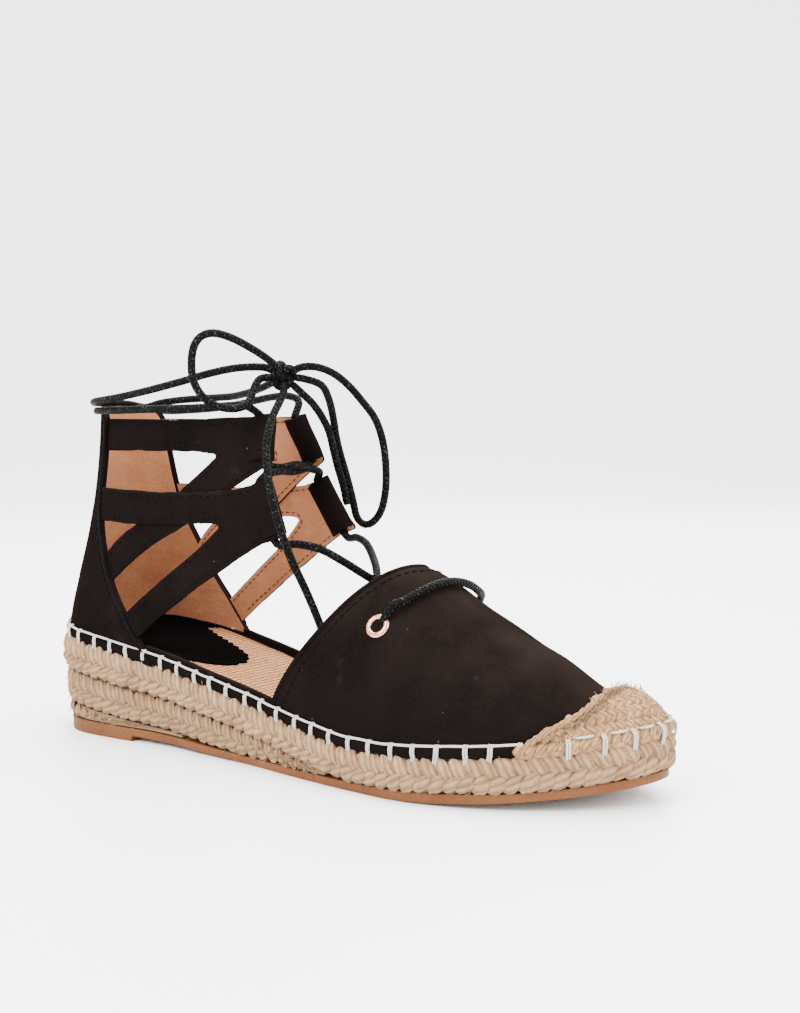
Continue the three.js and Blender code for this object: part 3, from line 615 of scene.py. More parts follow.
def cut_panel(polygon, cell):
    """A net of small faces cut to the outline: flat points and faces, counter-clockwise."""
    xs, ys = [p[0] for p in polygon], [p[1] for p in polygon]
    x0, x1, y0, y1 = min(xs), max(xs), min(ys), max(ys)
    nx, ny = math.ceil((x1 - x0) / cell), math.ceil((y1 - y0) / cell)
    bm = bmesh.new()
    grid = [[bm.verts.new((lerp(x0, x1, i / nx), lerp(y0, y1, j / ny), 0)) for i in range(nx + 1)]
            for j in range(ny + 1)]
    for j in range(ny):
        for i in range(nx):
            bm.faces.new((grid[j][i], grid[j][i + 1], grid[j + 1][i + 1], grid[j + 1][i]))
    reach = cell * 1.6
    for (ax, ay), (bx, by) in zip(polygon, polygon[1:] + polygon[:1]):
        near = [f for f in bm.faces
                if min(ax, bx) - reach < f.calc_center_median().x < max(ax, bx) + reach
                and min(ay, by) - reach < f.calc_center_median().y < max(ay, by) + reach]
        geom = list({v for f in near for v in f.verts} | {e for f in near for e in f.edges}) + near
        normal = Vector((by - ay, ax - bx, 0))
        if geom and normal.length > 1e-6:
            bmesh.ops.bisect_plane(bm, geom=geom, dist=1e-3, plane_co=(ax, ay, 0), plane_no=normal)
    gone = [f for f in bm.faces if not inside(*f.calc_center_median().xy, polygon)]
    bmesh.ops.delete(bm, geom=gone, context="FACES")
    bmesh.ops.remove_doubles(bm, verts=bm.verts, dist=0.12)
    bmesh.ops.dissolve_degenerate(bm, edges=bm.edges, dist=0.05)
    bm.normal_update()
    bm.verts.index_update()
    flat = [(v.co.x, v.co.y) for v in bm.verts]
    faces = []
    for f in bm.faces:
        ring = [v.index for v in f.verts]
        faces.append(tuple(ring if f.normal.z > 0 else ring[::-1]))
    bm.free()
    return flat, faces


def stitches(shape, path, ups, long=2.1, gap=0.9, radius=0.26, slot=0, sides=5):
    """Short raised threads in a row along the path."""
    step = long + gap
    total = line_length(path)
    fine = spaced(path, 0.5)
    count = len(fine)
    for k in range(int(total / step)):
        i0 = round(k * step / total * (count - 1))
        i1 = round((k * step + long) / total * (count - 1))
        if i1 - i0 < 2:
            continue
        some = [fine[i0], fine[(i0 + i1) // 2], fine[i1]]
        normal = ups(some[1])
        lifted = [some[0] - normal * 0.12, some[1] + normal * radius * 0.8, some[2] - normal * 0.12]
        sweep(shape, lifted, radius, sides=sides, ups=[normal] * 3, slot=slot, tip=0.7)


# ------------------------------------------------------------------ materials
def colour(red, green, blue):
    """A linear colour from the usual 0 to 255 values."""
    def one(v):
        v /= 255
        return v / 12.92 if v <= 0.04045 else ((v + 0.055) / 1.055) ** 2.4
    return (one(red), one(green), one(blue), 1.0)


class Nodes:
    """A node tree with short ways to add and join its nodes."""

    def __init__(self, tree):
        self.tree = tree

    def add(self, kind, **values):
        node = self.tree.nodes.new(kind)
        for key, value in values.items():
            setattr(node, key, value)
        return node

    def link(self, source, target):
        self.tree.links.new(source, target)

    def math(self, operation, a, b=None, clamp=False):
        node = self.add("ShaderNodeMath", operation=operation, use_clamp=clamp)
        for socket, value in zip(node.inputs, (a, b)):
            if value is None:
                continue
            if isinstance(value, (int, float)):
                socket.default_value = value
            else:
                self.link(value, socket)
        return node.outputs[0]

    def noise(self, vector, scale, detail=2.0, rough=0.5):
        node = self.add("ShaderNodeTexNoise")
        self.link(vector, node.inputs["Vector"])
        node.inputs["Detail"].default_value = detail
        node.inputs["Roughness"].default_value = rough
        if isinstance(scale, (int, float)):
            node.inputs["Scale"].default_value = scale
        else:
            self.link(scale, node.inputs["Scale"])
        return node.outputs["Fac"]

    def spread(self, value, low, high, to_low=0.0, to_high=1.0):
        node = self.add("ShaderNodeMapRange")
        self.link(value, node.inputs["Value"])
        for key, number in (("From Min", low), ("From Max", high), ("To Min", to_low), ("To Max", to_high)):
            node.inputs[key].default_value = number
        return node.outputs["Result"]

    def scaled(self, vector, by):
        node = self.add("ShaderNodeVectorMath", operation="MULTIPLY")
        self.link(vector, node.inputs[0])
        if isinstance(by, tuple):
            node.inputs[1].default_value = by
        else:
            self.link(by, node.inputs[1])
        return node.outputs[0]

    def mix(self, mask, a, b):
        node = self.add("ShaderNodeMix", data_type="RGBA")
        self.link(mask, node.inputs["Factor"])
        for socket, value in ((node.inputs["A"], a), (node.inputs["B"], b)):
            if isinstance(value, tuple):
                socket.default_value = value
            else:
                self.link(value, socket)
        return node.outputs["Result"]


def new_group(name, inputs, outputs):
    tree = bpy.data.node_groups.new(name, "ShaderNodeTree")
    for label, kind, default in inputs:
        socket = tree.interface.new_socket(label, in_out="INPUT", socket_type=kind)
        if default is not None:
            socket.default_value = default
    for label in outputs:
        tree.interface.new_socket(label, in_out="OUTPUT", socket_type="NodeSocketFloat")
    n = Nodes(tree)
    return tree, n, n.add("NodeGroupInput").outputs, n.add("NodeGroupOutput").inputs


def fibre_group():
    """Fine streaks that run along a yarn, with a slow change from yarn to yarn."""
    tree, n, given, out = new_group("Yarn fibres", [
        ("Vector", "NodeSocketVector", None), ("Across", "NodeSocketFloat", 14.0),
        ("Along", "NodeSocketFloat", 0.5),
    ], ("Streak", "Patch", "Height"))
    stretch = n.add("ShaderNodeCombineXYZ")
    n.link(given["Across"], stretch.inputs[0])
    n.link(given["Along"], stretch.inputs[1])
    stretched = n.scaled(given["Vector"], stretch.outputs[0])
    streak = n.noise(stretched, 1.0, 4.0, 0.65)
    fine = n.noise(stretched, 2.7, 2.0, 0.6)
    position = n.add("ShaderNodeTexCoord").outputs["Object"]
    n.link(n.spread(streak, 0.3, 0.7), out["Streak"])
    n.link(n.spread(n.noise(position, 160.0, 2.0), 0.3, 0.7), out["Patch"])
    n.link(n.math("ADD", streak, n.math("MULTIPLY", fine, 0.5)), out["Height"])
    return tree


def weave_group():
    """Plain weave: threads along U and V that go over and under each other."""
    tree, n, given, out = new_group("Plain weave", [
        ("Vector", "NodeSocketVector", None), ("Per unit", "NodeSocketFloat", 0.6),
    ], ("Over", "Height"))
    scale = n.add("ShaderNodeVectorMath", operation="SCALE")
    n.link(given["Vector"], scale.inputs[0])
    n.link(given["Per unit"], scale.inputs["Scale"])
    wobble = n.add("ShaderNodeTexNoise")
    wobble.inputs["Scale"].default_value = 0.35
    n.link(scale.outputs[0], wobble.inputs["Vector"])
    shifted = n.add("ShaderNodeVectorMath", operation="ADD")
    n.link(scale.outputs[0], shifted.inputs[0])
    n.link(wobble.outputs["Color"], shifted.inputs[1])
    split = n.add("ShaderNodeSeparateXYZ")
    n.link(shifted.outputs[0], split.inputs[0])
    u, v = split.outputs[0], split.outputs[1]
    odd = n.math("FLOORED_MODULO", n.math("ADD", n.math("FLOOR", u), n.math("FLOOR", v)), 2.0)
    over_u = n.math("SINE", n.math("MULTIPLY", n.math("FRACT", u), math.pi))
    over_v = n.math("SINE", n.math("MULTIPLY", n.math("FRACT", v), math.pi))
    flat_u, flat_v = n.math("POWER", over_u, 0.45), n.math("POWER", over_v, 0.45)
    first = n.math("MULTIPLY", n.math("MULTIPLY", flat_u, over_v), odd)
    second = n.math("MULTIPLY", n.math("MULTIPLY", flat_v, over_u), n.math("SUBTRACT", 1.0, odd))
    n.link(odd, out["Over"])
    n.link(n.math("ADD", first, second), out["Height"])
    return tree


def nap_group():
    """Suede: a short nap brushed into soft patches."""
    tree, n, given, out = new_group("Suede nap", [
        ("Patch scale", "NodeSocketFloat", 40.0), ("Grain scale", "NodeSocketFloat", 1500.0),
    ], ("Patch", "Grain", "Height"))
    position = n.add("ShaderNodeTexCoord").outputs["Object"]
    patch = n.noise(position, given["Patch scale"], 4.0, 0.6)
    grain = n.noise(position, given["Grain scale"], 3.0, 0.7)
    n.link(n.spread(patch, 0.35, 0.7), out["Patch"])
    n.link(n.spread(grain, 0.3, 0.7), out["Grain"])
    n.link(n.math("ADD", n.math("MULTIPLY", grain, 0.6), n.math("MULTIPLY", patch, 0.4)), out["Height"])
    return tree


def dust_group():
    """Sparse lint and faint chalky smears."""
    tree, n, given, out = new_group("Lint and dust", [("Scale", "NodeSocketFloat", 120.0)],
                                    ("Lint", "Smear"))
    position = n.add("ShaderNodeTexCoord").outputs["Object"]
    cells = n.add("ShaderNodeTexVoronoi", feature="F1")
    cells.inputs["Randomness"].default_value = 1.0
    n.link(given["Scale"], cells.inputs["Scale"])
    n.link(position, cells.inputs["Vector"])
    near = n.math("LESS_THAN", cells.outputs["Distance"], 0.05)
    chosen = n.add("ShaderNodeSeparateColor")
    n.link(cells.outputs["Color"], chosen.inputs[0])
    lint = n.math("MULTIPLY", near, n.math("GREATER_THAN", chosen.outputs[0], 0.6))
    smear = n.spread(n.noise(position, 55.0, 5.0, 0.75), 0.62, 0.8)
    n.link(lint, out["Lint"])
    n.link(smear, out["Smear"])
    return tree


class Finish:
    """One material: its shader, and ways to feed it from the shared groups."""

    def __init__(self, name, base, roughness, metallic=0.0, **sockets):
        self.material = bpy.data.materials.new(name)
        self.material.use_nodes = True
        self.material.diffuse_color = base
        tree = self.material.node_tree
        tree.nodes.clear()
        self.n = Nodes(tree)
        self.shader = self.n.add("ShaderNodeBsdfPrincipled")
        out = self.n.add("ShaderNodeOutputMaterial")
        self.n.link(self.shader.outputs[0], out.inputs["Surface"])
        self.shader.inputs["Base Color"].default_value = base
        self.shader.inputs["Roughness"].default_value = roughness
        self.shader.inputs["Metallic"].default_value = metallic
        for label, value in sockets.items():
            self.shader.inputs[label.replace("_", " ")].default_value = value

    def group(self, name, vector=None, **values):
        node = self.n.add("ShaderNodeGroup")
        node.node_tree = bpy.data.node_groups[name]
        for label, value in values.items():
            node.inputs[label.replace("_", " ")].default_value = value
        if vector is not None:
            self.n.link(vector, node.inputs["Vector"])
        return node.outputs

    def uv(self):
        return self.n.add("ShaderNodeUVMap", uv_map="UVMap").outputs[0]

    def place(self):
        return self.n.add("ShaderNodeTexCoord").outputs["Object"]

    def base(self, source):
        self.n.link(source, self.shader.inputs["Base Color"])

    def rough(self, source):
        self.n.link(source, self.shader.inputs["Roughness"])

    def bump(self, height, distance, strength=1.0):
        node = self.n.add("ShaderNodeBump")
        node.inputs["Distance"].default_value = distance
        node.inputs["Strength"].default_value = strength
        self.n.link(height, node.inputs["Height"])
        self.n.link(node.outputs[0], self.shader.inputs["Normal"])


def suede_finish(sizes):
    f = Finish("Black suede", tuple(sizes.suede), 0.95, Sheen_Weight=0.012, Sheen_Roughness=0.4,
               Sheen_Tint=colour(150, 120, 105), Specular_IOR_Level=0.0)
    nap = f.group("Suede nap", Patch_scale=38.0, Grain_scale=1700.0)
    dust = f.group("Lint and dust", Scale=150.0)
    dark = tuple(sizes.suede)
    brushed = f.n.mix(nap["Patch"], dark, colour(15, 11, 10))
    grained = f.n.mix(f.n.math("MULTIPLY", nap["Grain"], 0.4), brushed, colour(26, 20, 18))
    facing = f.n.add("ShaderNodeSeparateXYZ")
    f.n.link(f.n.add("ShaderNodeNewGeometry").outputs["Normal"], facing.inputs[0])
    # Painted highlight: suede that faces upwards is lightened towards a warm brown, varied by the nap
    # patches.
    upward_painted_highlight = f.n.math("MULTIPLY", f.n.spread(facing.outputs[2], 0.35, 0.95),
                     f.n.spread(nap["Patch"], 0, 1, 0.3, 0.9))
    lit = f.n.mix(f.n.math("MULTIPLY", upward_painted_highlight, 0.5), grained, colour(39, 31, 27))
    chalky = f.n.mix(f.n.math("MULTIPLY", dust["Smear"], 0.06), lit, colour(92, 84, 80))
    f.base(f.n.mix(f.n.math("MULTIPLY", dust["Lint"], 0.22), chalky, colour(110, 102, 95)))
    f.rough(f.n.spread(nap["Patch"], 0, 1, 0.86, 0.98))
    f.bump(nap["Height"], 0.0004, 0.7)
    return f.material


def lining_finish(sizes):
    f = Finish("Tan lining", tuple(sizes.lining), 0.8, Sheen_Weight=0.05, Sheen_Roughness=0.5,
               Specular_IOR_Level=0.2)
    nap = f.group("Suede nap", Patch_scale=70.0, Grain_scale=900.0)
    warm = f.n.mix(nap["Patch"], tuple(sizes.lining), colour(164, 112, 78))
    f.base(f.n.mix(f.n.math("MULTIPLY", nap["Grain"], 0.4), warm, colour(118, 72, 46)))
    creases = f.n.noise(f.n.scaled(f.place(), (30.0, 30.0, 90.0)), 2.2, 3.0, 0.55)
    f.bump(f.n.math("ADD", nap["Height"], f.n.math("MULTIPLY", creases, 1.6)), 0.0007, 0.6)
    return f.material


def jute_finish(name, tint, pale, deep, across=9.0):
    """Twisted jute: streaks along each yarn; the deep colour is painted shade, laid in the furrows between
    the strands and on each ply's side that faces into the braid.
    """
    f = Finish(name, tint, 0.95, Sheen_Weight=0.05, Sheen_Roughness=0.6, Specular_IOR_Level=0.15)
    uv = f.uv()
    fibres = f.group("Yarn fibres", uv, Across=across, Along=0.35)
    split = f.n.add("ShaderNodeSeparateXYZ")
    f.n.link(uv, split.inputs[0])
    # Painted shade: each ply turns to the deep colour on its side that faces into the braid.
    facing = f.n.math("SINE", f.n.math("MULTIPLY", split.outputs[0], 2 * math.pi))
    top = f.n.spread(facing, -0.25, 0.75)
    body = f.n.mix(fibres["Streak"], tint, pale)
    patched = f.n.mix(f.n.math("MULTIPLY", fibres["Patch"], 0.6), body, colour(122, 88, 58))
    # Painted shade: the furrows between the twisted strands darken towards the deep colour.
    strands = f.n.math("SINE", f.n.math("ADD", f.n.math("MULTIPLY", split.outputs[0], 2 * math.pi * 6),
                                        f.n.math("MULTIPLY", split.outputs[1], 1.3)))
    strand_furrow_shade = f.n.mix(f.n.spread(strands, -0.2, -1.0, 0.0, 0.5), patched, deep)
    f.base(f.n.mix(top, deep, strand_furrow_shade))
    f.bump(f.n.math("ADD", f.n.math("MULTIPLY", strands, 0.6), fibres["Height"]), 0.0007, 1.0)
    return f.material


def cord_finish(sizes):
    """Waxed round braid: slanted strands both ways, with pale specks where they stand proud."""
    f = Finish("Waxed black braid", tuple(sizes.lace), 0.5, Specular_IOR_Level=0.03)
    uv = f.uv()
    split = f.n.add("ShaderNodeSeparateXYZ")
    f.n.link(uv, split.inputs[0])
    turn = f.n.math("MULTIPLY", split.outputs[0], 2 * math.pi * 4)
    run = f.n.math("MULTIPLY", split.outputs[1], 2 * math.pi / 1.7)
    left = f.n.math("SINE", f.n.math("ADD", turn, run))
    right = f.n.math("SINE", f.n.math("SUBTRACT", turn, run))
    high = f.n.math("MAXIMUM", left, right)
    low = f.n.math("MULTIPLY", left, right)
    wear = f.n.noise(f.place(), 900.0, 3.0, 0.7)
    pale_strand_specks = f.n.math("MULTIPLY", f.n.spread(high, 0.6, 1.0), f.n.spread(wear, 0.54, 0.7))
    f.base(f.n.mix(f.n.math("MULTIPLY", pale_strand_specks, 0.75), tuple(sizes.lace), colour(88, 86, 80)))
    f.rough(f.n.spread(wear, 0.3, 0.7, 0.42, 0.65))
    f.bump(f.n.math("ADD", high, f.n.math("MULTIPLY", low, 0.3)), 0.00035, 0.9)
    return f.material


def thread_finish(name, tint, shade):
    f = Finish(name, tint, 0.8, Specular_IOR_Level=0.05)
    uv = f.uv()
    split = f.n.add("ShaderNodeSeparateXYZ")
    f.n.link(uv, split.inputs[0])
    plies = f.n.math("SINE", f.n.math("ADD", f.n.math("MULTIPLY", split.outputs[0], 2 * math.pi * 3),
                                      f.n.math("MULTIPLY", split.outputs[1], 5.0)))
    # Painted shade: the grooves between the twisted plies are darkened to the shade colour.
    f.base(f.n.mix(f.n.spread(plies, -1.0, 0.4), shade, tint))
    f.bump(plies, 0.0002, 0.8)
    return f.material


def rubber_finish(sizes):
    f = Finish("Caramel rubber", tuple(sizes.rubber), 0.6, Specular_IOR_Level=0.1)
    fine = f.n.noise(f.place(), 700.0, 4.0, 0.6)
    broad = f.n.noise(f.place(), 35.0, 3.0, 0.6)
    shaded = f.n.mix(f.n.spread(broad, 0.3, 0.7), tuple(sizes.rubber), colour(82, 50, 29))
    f.base(f.n.mix(f.n.math("MULTIPLY", f.n.spread(fine, 0.5, 0.75), 0.3), shaded, colour(118, 78, 46)))
    f.rough(f.n.spread(broad, 0.3, 0.7, 0.45, 0.7))
    f.bump(fine, 0.0002, 0.5)
    return f.material


def insole_finish(sizes):
    f = Finish("Coarse woven insole", tuple(sizes.insole), 0.9, Specular_IOR_Level=0.2)
    weave = f.group("Plain weave", f.uv(), Per_unit=0.44)
    fibres = f.group("Yarn fibres", f.uv(), Across=2.4, Along=2.4)
    thread = f.n.mix(fibres["Streak"], tuple(sizes.insole), colour(212, 158, 108))
    patched = f.n.mix(f.n.math("MULTIPLY", fibres["Patch"], 0.4), thread, colour(168, 108, 64))
    # Painted shade: where the weave lies low between the threads it is darkened to a deep brown.
    f.base(f.n.mix(f.n.spread(weave["Height"], 0.1, 0.7), colour(88, 48, 26), patched))
    f.bump(f.n.math("ADD", weave["Height"], f.n.math("MULTIPLY", fibres["Height"], 0.25)), 0.0009, 1.0)
    return f.material


def pad_finish():
    f = Finish("Black sock fabric", colour(5, 4, 4), 0.9, Specular_IOR_Level=0.0)
    nap = f.group("Suede nap", Patch_scale=90.0, Grain_scale=2200.0)
    f.base(f.n.mix(f.n.math("MULTIPLY", nap["Grain"], 0.4), colour(5, 4, 4), colour(14, 12, 12)))
    f.bump(nap["Height"], 0.0002, 0.6)
    return f.material


def gold_finish(sizes):
    f = Finish("Rose gold", tuple(sizes.gold), 0.18, 1.0)
    wear = f.n.noise(f.place(), 1400.0, 3.0, 0.6)
    f.base(f.n.mix(f.n.spread(wear, 0.35, 0.7), tuple(sizes.gold), colour(222, 168, 144)))
    f.rough(f.n.spread(wear, 0.3, 0.7, 0.12, 0.3))
    return f.material


def floor_finish():
    f = Finish("Pale floor", (0.93, 0.93, 0.93, 1.0), 0.35, Specular_IOR_Level=0.35)
    slow = f.n.noise(f.place(), 3.0, 2.0)
    f.base(f.n.mix(slow, (0.92, 0.92, 0.925, 1.0), (0.95, 0.95, 0.95, 1.0)))
    return f.material


def finish_named(name):
    return bpy.data.materials[name]


def shown(piece, slot, *nodes, body="root"):
    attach(piece, body)
    if nodes:
        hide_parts(*nodes)
    return piece


# ------------------------------------------------------------------ properties
class EspadrilleSizes(bpy.types.PropertyGroup):
    """Sizes and colours that a user would change."""

    ply_pitch: bpy.props.FloatProperty(
        name="Braid pitch", description="Length of sole edge that one braided ply takes",
        default=0.0050, min=0.003, max=0.01, unit="LENGTH")
    stitch_pitch: bpy.props.FloatProperty(
        name="Blanket stitch pitch", description="Distance between the legs of the white edge stitch",
        default=0.0088, min=0.005, max=0.02, unit="LENGTH")
    fibre_count: bpy.props.IntProperty(
        name="Stray fibres", description="Loose jute hairs on the sole and toe cap", default=4200,
        min=0, max=5000)
    suede: bpy.props.FloatVectorProperty(
        name="Suede", description="Colour of the suede", default=colour(6, 5, 5), size=4, subtype="COLOR")
    lining: bpy.props.FloatVectorProperty(
        name="Lining", description="Colour of the lining", default=colour(150, 98, 66), size=4,
        subtype="COLOR")
    jute: bpy.props.FloatVectorProperty(
        name="Jute", description="Colour of the braided sole", default=colour(140, 106, 74), size=4,
        subtype="COLOR")
    rubber: bpy.props.FloatVectorProperty(
        name="Rubber", description="Colour of the outsole", default=colour(98, 60, 33), size=4,
        subtype="COLOR")
    insole: bpy.props.FloatVectorProperty(
        name="Insole", description="Colour of the woven insole", default=colour(192, 132, 84), size=4,
        subtype="COLOR")
    lace: bpy.props.FloatVectorProperty(
        name="Lace", description="Colour of the waxed lace", default=colour(7, 7, 7), size=4,
        subtype="COLOR")
    gold: bpy.props.FloatVectorProperty(
        name="Eyelets", description="Colour of the eyelets", default=colour(182, 116, 88), size=4,
        subtype="COLOR")


class EspadrilleStage(bpy.types.PropertyGroup):
    """Where the viewer stands, and the light."""

    lens: bpy.props.FloatProperty(name="Lens", description="Focal length of the camera",
                                  default=53.31, min=20,
                                  max=200, unit="CAMERA")
    turn: bpy.props.FloatProperty(name="Turn", description="How far the camera looks to the heel side",
                                  default=math.radians(36.05), subtype="ANGLE")
    tilt: bpy.props.FloatProperty(name="Tilt", description="How far the camera looks down",
                                  default=math.radians(3.63), subtype="ANGLE")
    light: bpy.props.FloatProperty(name="Light", description="Strength of the studio light",
                                   default=1.0, min=0,
                                   max=10)


# ------------------------------------------------------------------ operators
class Builder(bpy.types.Operator):
    """Shared behaviour of the piece builders."""

    bl_options = {"REGISTER", "UNDO"}

    def execute(self, context):
        self.build(context.scene.espadrille)
        return {"FINISHED"}


class ESPADRILLE_OT_materials(Builder):
    """Make the shared shader groups and every finish."""

    bl_idname = "espadrille.materials"
    bl_label = "Finishes"

    def build(self, sizes):
        fibre_group()
        weave_group()
        nap_group()
        dust_group()
        suede_finish(sizes)
        lining_finish(sizes)
        # The last colour given to each jute finish is its painted shade colour.
        jute_finish("Braided jute", tuple(sizes.jute), colour(168, 136, 102), colour(44, 27, 16))
        jute_finish("Ground jute", colour(128, 98, 68), colour(158, 126, 92), colour(44, 28, 17), 12.0)
        jute_finish("Cap jute", colour(160, 116, 76), colour(192, 148, 104), colour(56, 33, 19))
        cord_finish(sizes)
        thread_finish("White thread", colour(206, 203, 198), colour(140, 134, 126))
        thread_finish("Black thread", colour(9, 8, 8), colour(3, 3, 3))
        thread_finish("Brown thread", colour(96, 60, 42), colour(52, 32, 22))
        rubber_finish(sizes)
        insole_finish(sizes)
        pad_finish()
        gold_finish(sizes)
        floor_finish()


class ESPADRILLE_OT_stage(bpy.types.Operator):
    """Set up the pale floor, the soft light and the camera."""

    bl_idname = "espadrille.stage"
    bl_label = "Stage"

    def execute(self, context):
        stage = context.scene.espadrille_stage
        bpy.ops.object.select_all(action="DESELECT")
        bpy.ops.mesh.primitive_plane_add(size=3.0, location=(0, 0, 0))
        floor = context.object
        floor.name = "floor"
        bpy.ops.object.mode_set(mode="EDIT")
        bpy.ops.mesh.select_all(action="DESELECT")
        bpy.ops.object.mode_set(mode="OBJECT")
        for edge in floor.data.edges:
            ends = [floor.data.vertices[i].co for i in edge.vertices]
            edge.select = all(co.y > 1.0 for co in ends)
        bpy.ops.object.mode_set(mode="EDIT")
        bpy.ops.mesh.select_mode(type="EDGE")
        for step in range(8):
            lean = math.radians(11.25 * (step + 0.5))
            bpy.ops.mesh.extrude_region_move(TRANSFORM_OT_translate={
                "value": (0, 0.16 * math.cos(lean), 0.16 * math.sin(lean))})
        bpy.ops.mesh.extrude_region_move(TRANSFORM_OT_translate={"value": (0, 0, 1.4)})
        bpy.ops.object.mode_set(mode="OBJECT")
        floor.data.polygons.foreach_set("use_smooth", [True] * len(floor.data.polygons))
        floor.data.materials.append(finish_named("Pale floor"))
        turned = Matrix.Rotation(stage.turn, 4, "Z")
        floor.data.transform(turned)

        world = bpy.data.worlds.new("Studio")
        world.use_nodes = True
        world.node_tree.nodes["Background"].inputs["Color"].default_value = (1.0, 1.0, 1.0, 1.0)
        world.node_tree.nodes["Background"].inputs["Strength"].default_value = 3.2 * stage.light
        context.scene.world = world

        look = Vector((-math.sin(stage.turn) * math.cos(stage.tilt),
                       math.cos(stage.turn) * math.cos(stage.tilt),
                       -math.sin(stage.tilt)))
        stand = placed((464.55, -422.42, 124.40))
        camera_data = bpy.data.cameras.new("Camera")
        camera = bpy.data.objects.new("Camera", camera_data)
        context.scene.collection.objects.link(camera)
        camera_data.lens = stage.lens
        camera_data.sensor_width = 36.0
        camera_data.clip_start = 0.01
        camera.location = stand
        camera.rotation_mode = "QUATERNION"
        camera.rotation_quaternion = look.to_track_quat("-Z", "Y")
        context.scene.camera = camera

        middle = Vector((0.0, 0.0, 0.06))
        level = Vector((look.x, look.y, 0)).normalized()
        right = Vector((level.y, -level.x, 0))
        for name, offset, size, power in (
            ("key", -level * 0.9 - right * 0.9 + Vector((0, 0, 1.1)), 0.9, 46.0),
            ("fill", -level * 0.7 + right * 1.2 + Vector((0, 0, 0.7)), 1.1, 24.0),
            ("top", level * 0.3 + Vector((0, 0, 1.5)), 1.4, 60.0),
            ("behind", level * 1.1 + right * 0.2 + Vector((0, 0, 0.9)), 1.2, 26.0),
        ):
            lamp = bpy.data.lights.new(name, "AREA")
            lamp.shape = "DISK"
            lamp.size = size
            lamp.energy = power * stage.light
            lit = bpy.data.objects.new(name, lamp)
            context.scene.collection.objects.link(lit)
            lit.location = middle + offset
            lit.rotation_mode = "QUATERNION"
            lit.rotation_quaternion = (-offset).to_track_quat("-Z", "Y")
        return {"FINISHED"}


def lace_tube(name, points, pitch=1.6, sides=16):
    """A piece of the round braid: its mesh tube and the line it follows."""
    path = curve_points(points, pitch)
    shape = Shape()
    sweep(shape, path, LACE_RADIUS - 0.04, sides=sides, tip=0.72)
    return shape.piece(name, [finish_named("Waxed black braid")]), path


class ESPADRILLE_OT_free_lace(Builder):
    """Lay the free lace: twice round the ankle, the bow's two loops and the two ends, and the knot."""

    bl_idname = "espadrille.free_lace"
    bl_label = "Free lace and bow"

    def build(self, sizes):
        shape = Shape()
        centre = Vector(KNOT)
        turns = []
        for i in range(96):
            t = 2 * math.pi * i / 96
            reach = 2 + 0.9 * math.cos(3 * t)
            turns.append(centre + Vector((1.15 * math.sin(3 * t) + 0.25 * reach * math.cos(2 * t),
                                          1.55 * reach * math.cos(2 * t), 1.55 * reach * math.sin(2 * t))))
        turns.append(turns[0])
        sweep(shape, turns, LACE_RADIUS - 0.05, sides=14, tip=1.0)
        core = [centre + Vector((-1.5, -3.2, 2.4)), centre + Vector((0.5, 0, 0)),
                centre + Vector((0.5, 3.0, -3.0))]
        sweep(shape, spaced(core, 1.0), LACE_RADIUS, sides=12, tip=0.6)
        knot = shape.piece("bow_knot", [finish_named("Waxed black braid")])
        shown(knot, "waxed_cord", "lace_knot")
        for name, points, far in (
            ("wrap_outer", WRAP_OUTER, "knot"), ("wrap_inner", WRAP_INNER, "knot"),
            ("loop_outer", LOOP_OUTER, "knot"), ("loop_inner", LOOP_INNER, "knot"),
            ("end_outer", END_OUTER, "bare"), ("end_inner", END_INNER, "bare"),
        ):
            points = list(points)
            if name.startswith("wrap"):
                tunnel = casing_axis(CASINGS[0], 1 if name == "wrap_inner" else -1, 0.0)
                points = [tuple(tunnel[1]), tuple(tunnel[0])] + points[1:]
            if name.startswith("wrap") or name.startswith("loop"):
                points.append(tuple(centre + (Vector(points[-1]) - centre) * 0.45))
            if name.startswith("loop") or name.startswith("end"):
                points.insert(0, tuple(centre + (Vector(points[0]) - centre) * 0.45))
            piece, path = lace_tube("free_" + name, points)
            shown(piece, "waxed_cord", "lace_" + name)


class ESPADRILLE_OT_laced(Builder):
    """Run the held lace from the vamp's eyelets through the lace tunnels to the ankle."""

    bl_idname = "espadrille.laced"
    bl_label = "Laced lace"

    def build(self, sizes):
        def strand(side, lift):
            """From the eyelet on that side, under the vamp, over to the other side and up."""
            turn = [(x, y * -side, z) for x, y, z in CROSS_LOWER]
            shifted = []
            for x, y, z in turn:
                near = math.exp(-(y / 7.0) ** 2)
                shifted.append((x + lift * 0.9 * near, y, z + lift * 1.5 * near))
            lower = [tuple(p) for p in casing_axis(CASINGS[1], -side, 0.5)][::-1]
            over = []
            for x, y, z in CROSS_UPPER:
                near = math.exp(-(y / 6.0) ** 2)
                over.append((x + lift * 0.9 * near, y * -side, z + lift * 1.3 * near))
            axis = casing_axis(CASINGS[0], side)
            upper = [(p.x, p.y * (1 - 0.1 * (i / 6) ** 3), p.z) for i, p in enumerate(axis)][:1:-1]
            return shifted[::-1] + lower[1:] + over[1:-1] + [(106.0, side * 12.4, 104.8)] + upper

        eyelet = (169.4, 27.0, 53.0)
        dive = (165.6, 22.2, 50.2)
        outer, inner = strand(-1, 1.0), strand(1, -1.0)
        bar = list(LACE_BAR)
        route = (outer[::-1] + [(dive[0], -dive[1], dive[2]),
                                (eyelet[0], -eyelet[1] + 0.2, eyelet[2] + 1.6)]
                 + bar[1:-1] + [(eyelet[0] + 0.6, eyelet[1] - 1.8, eyelet[2] - 0.6),
                                (dive[0], dive[1] - 3.0, dive[2] - 2.6)]
                 + inner)
        piece, _ = lace_tube("held_lace", route, pitch=1.5)
        shown(piece, "waxed_cord", "lace_bar", "lace_cross_lower", "lace_cross_upper")


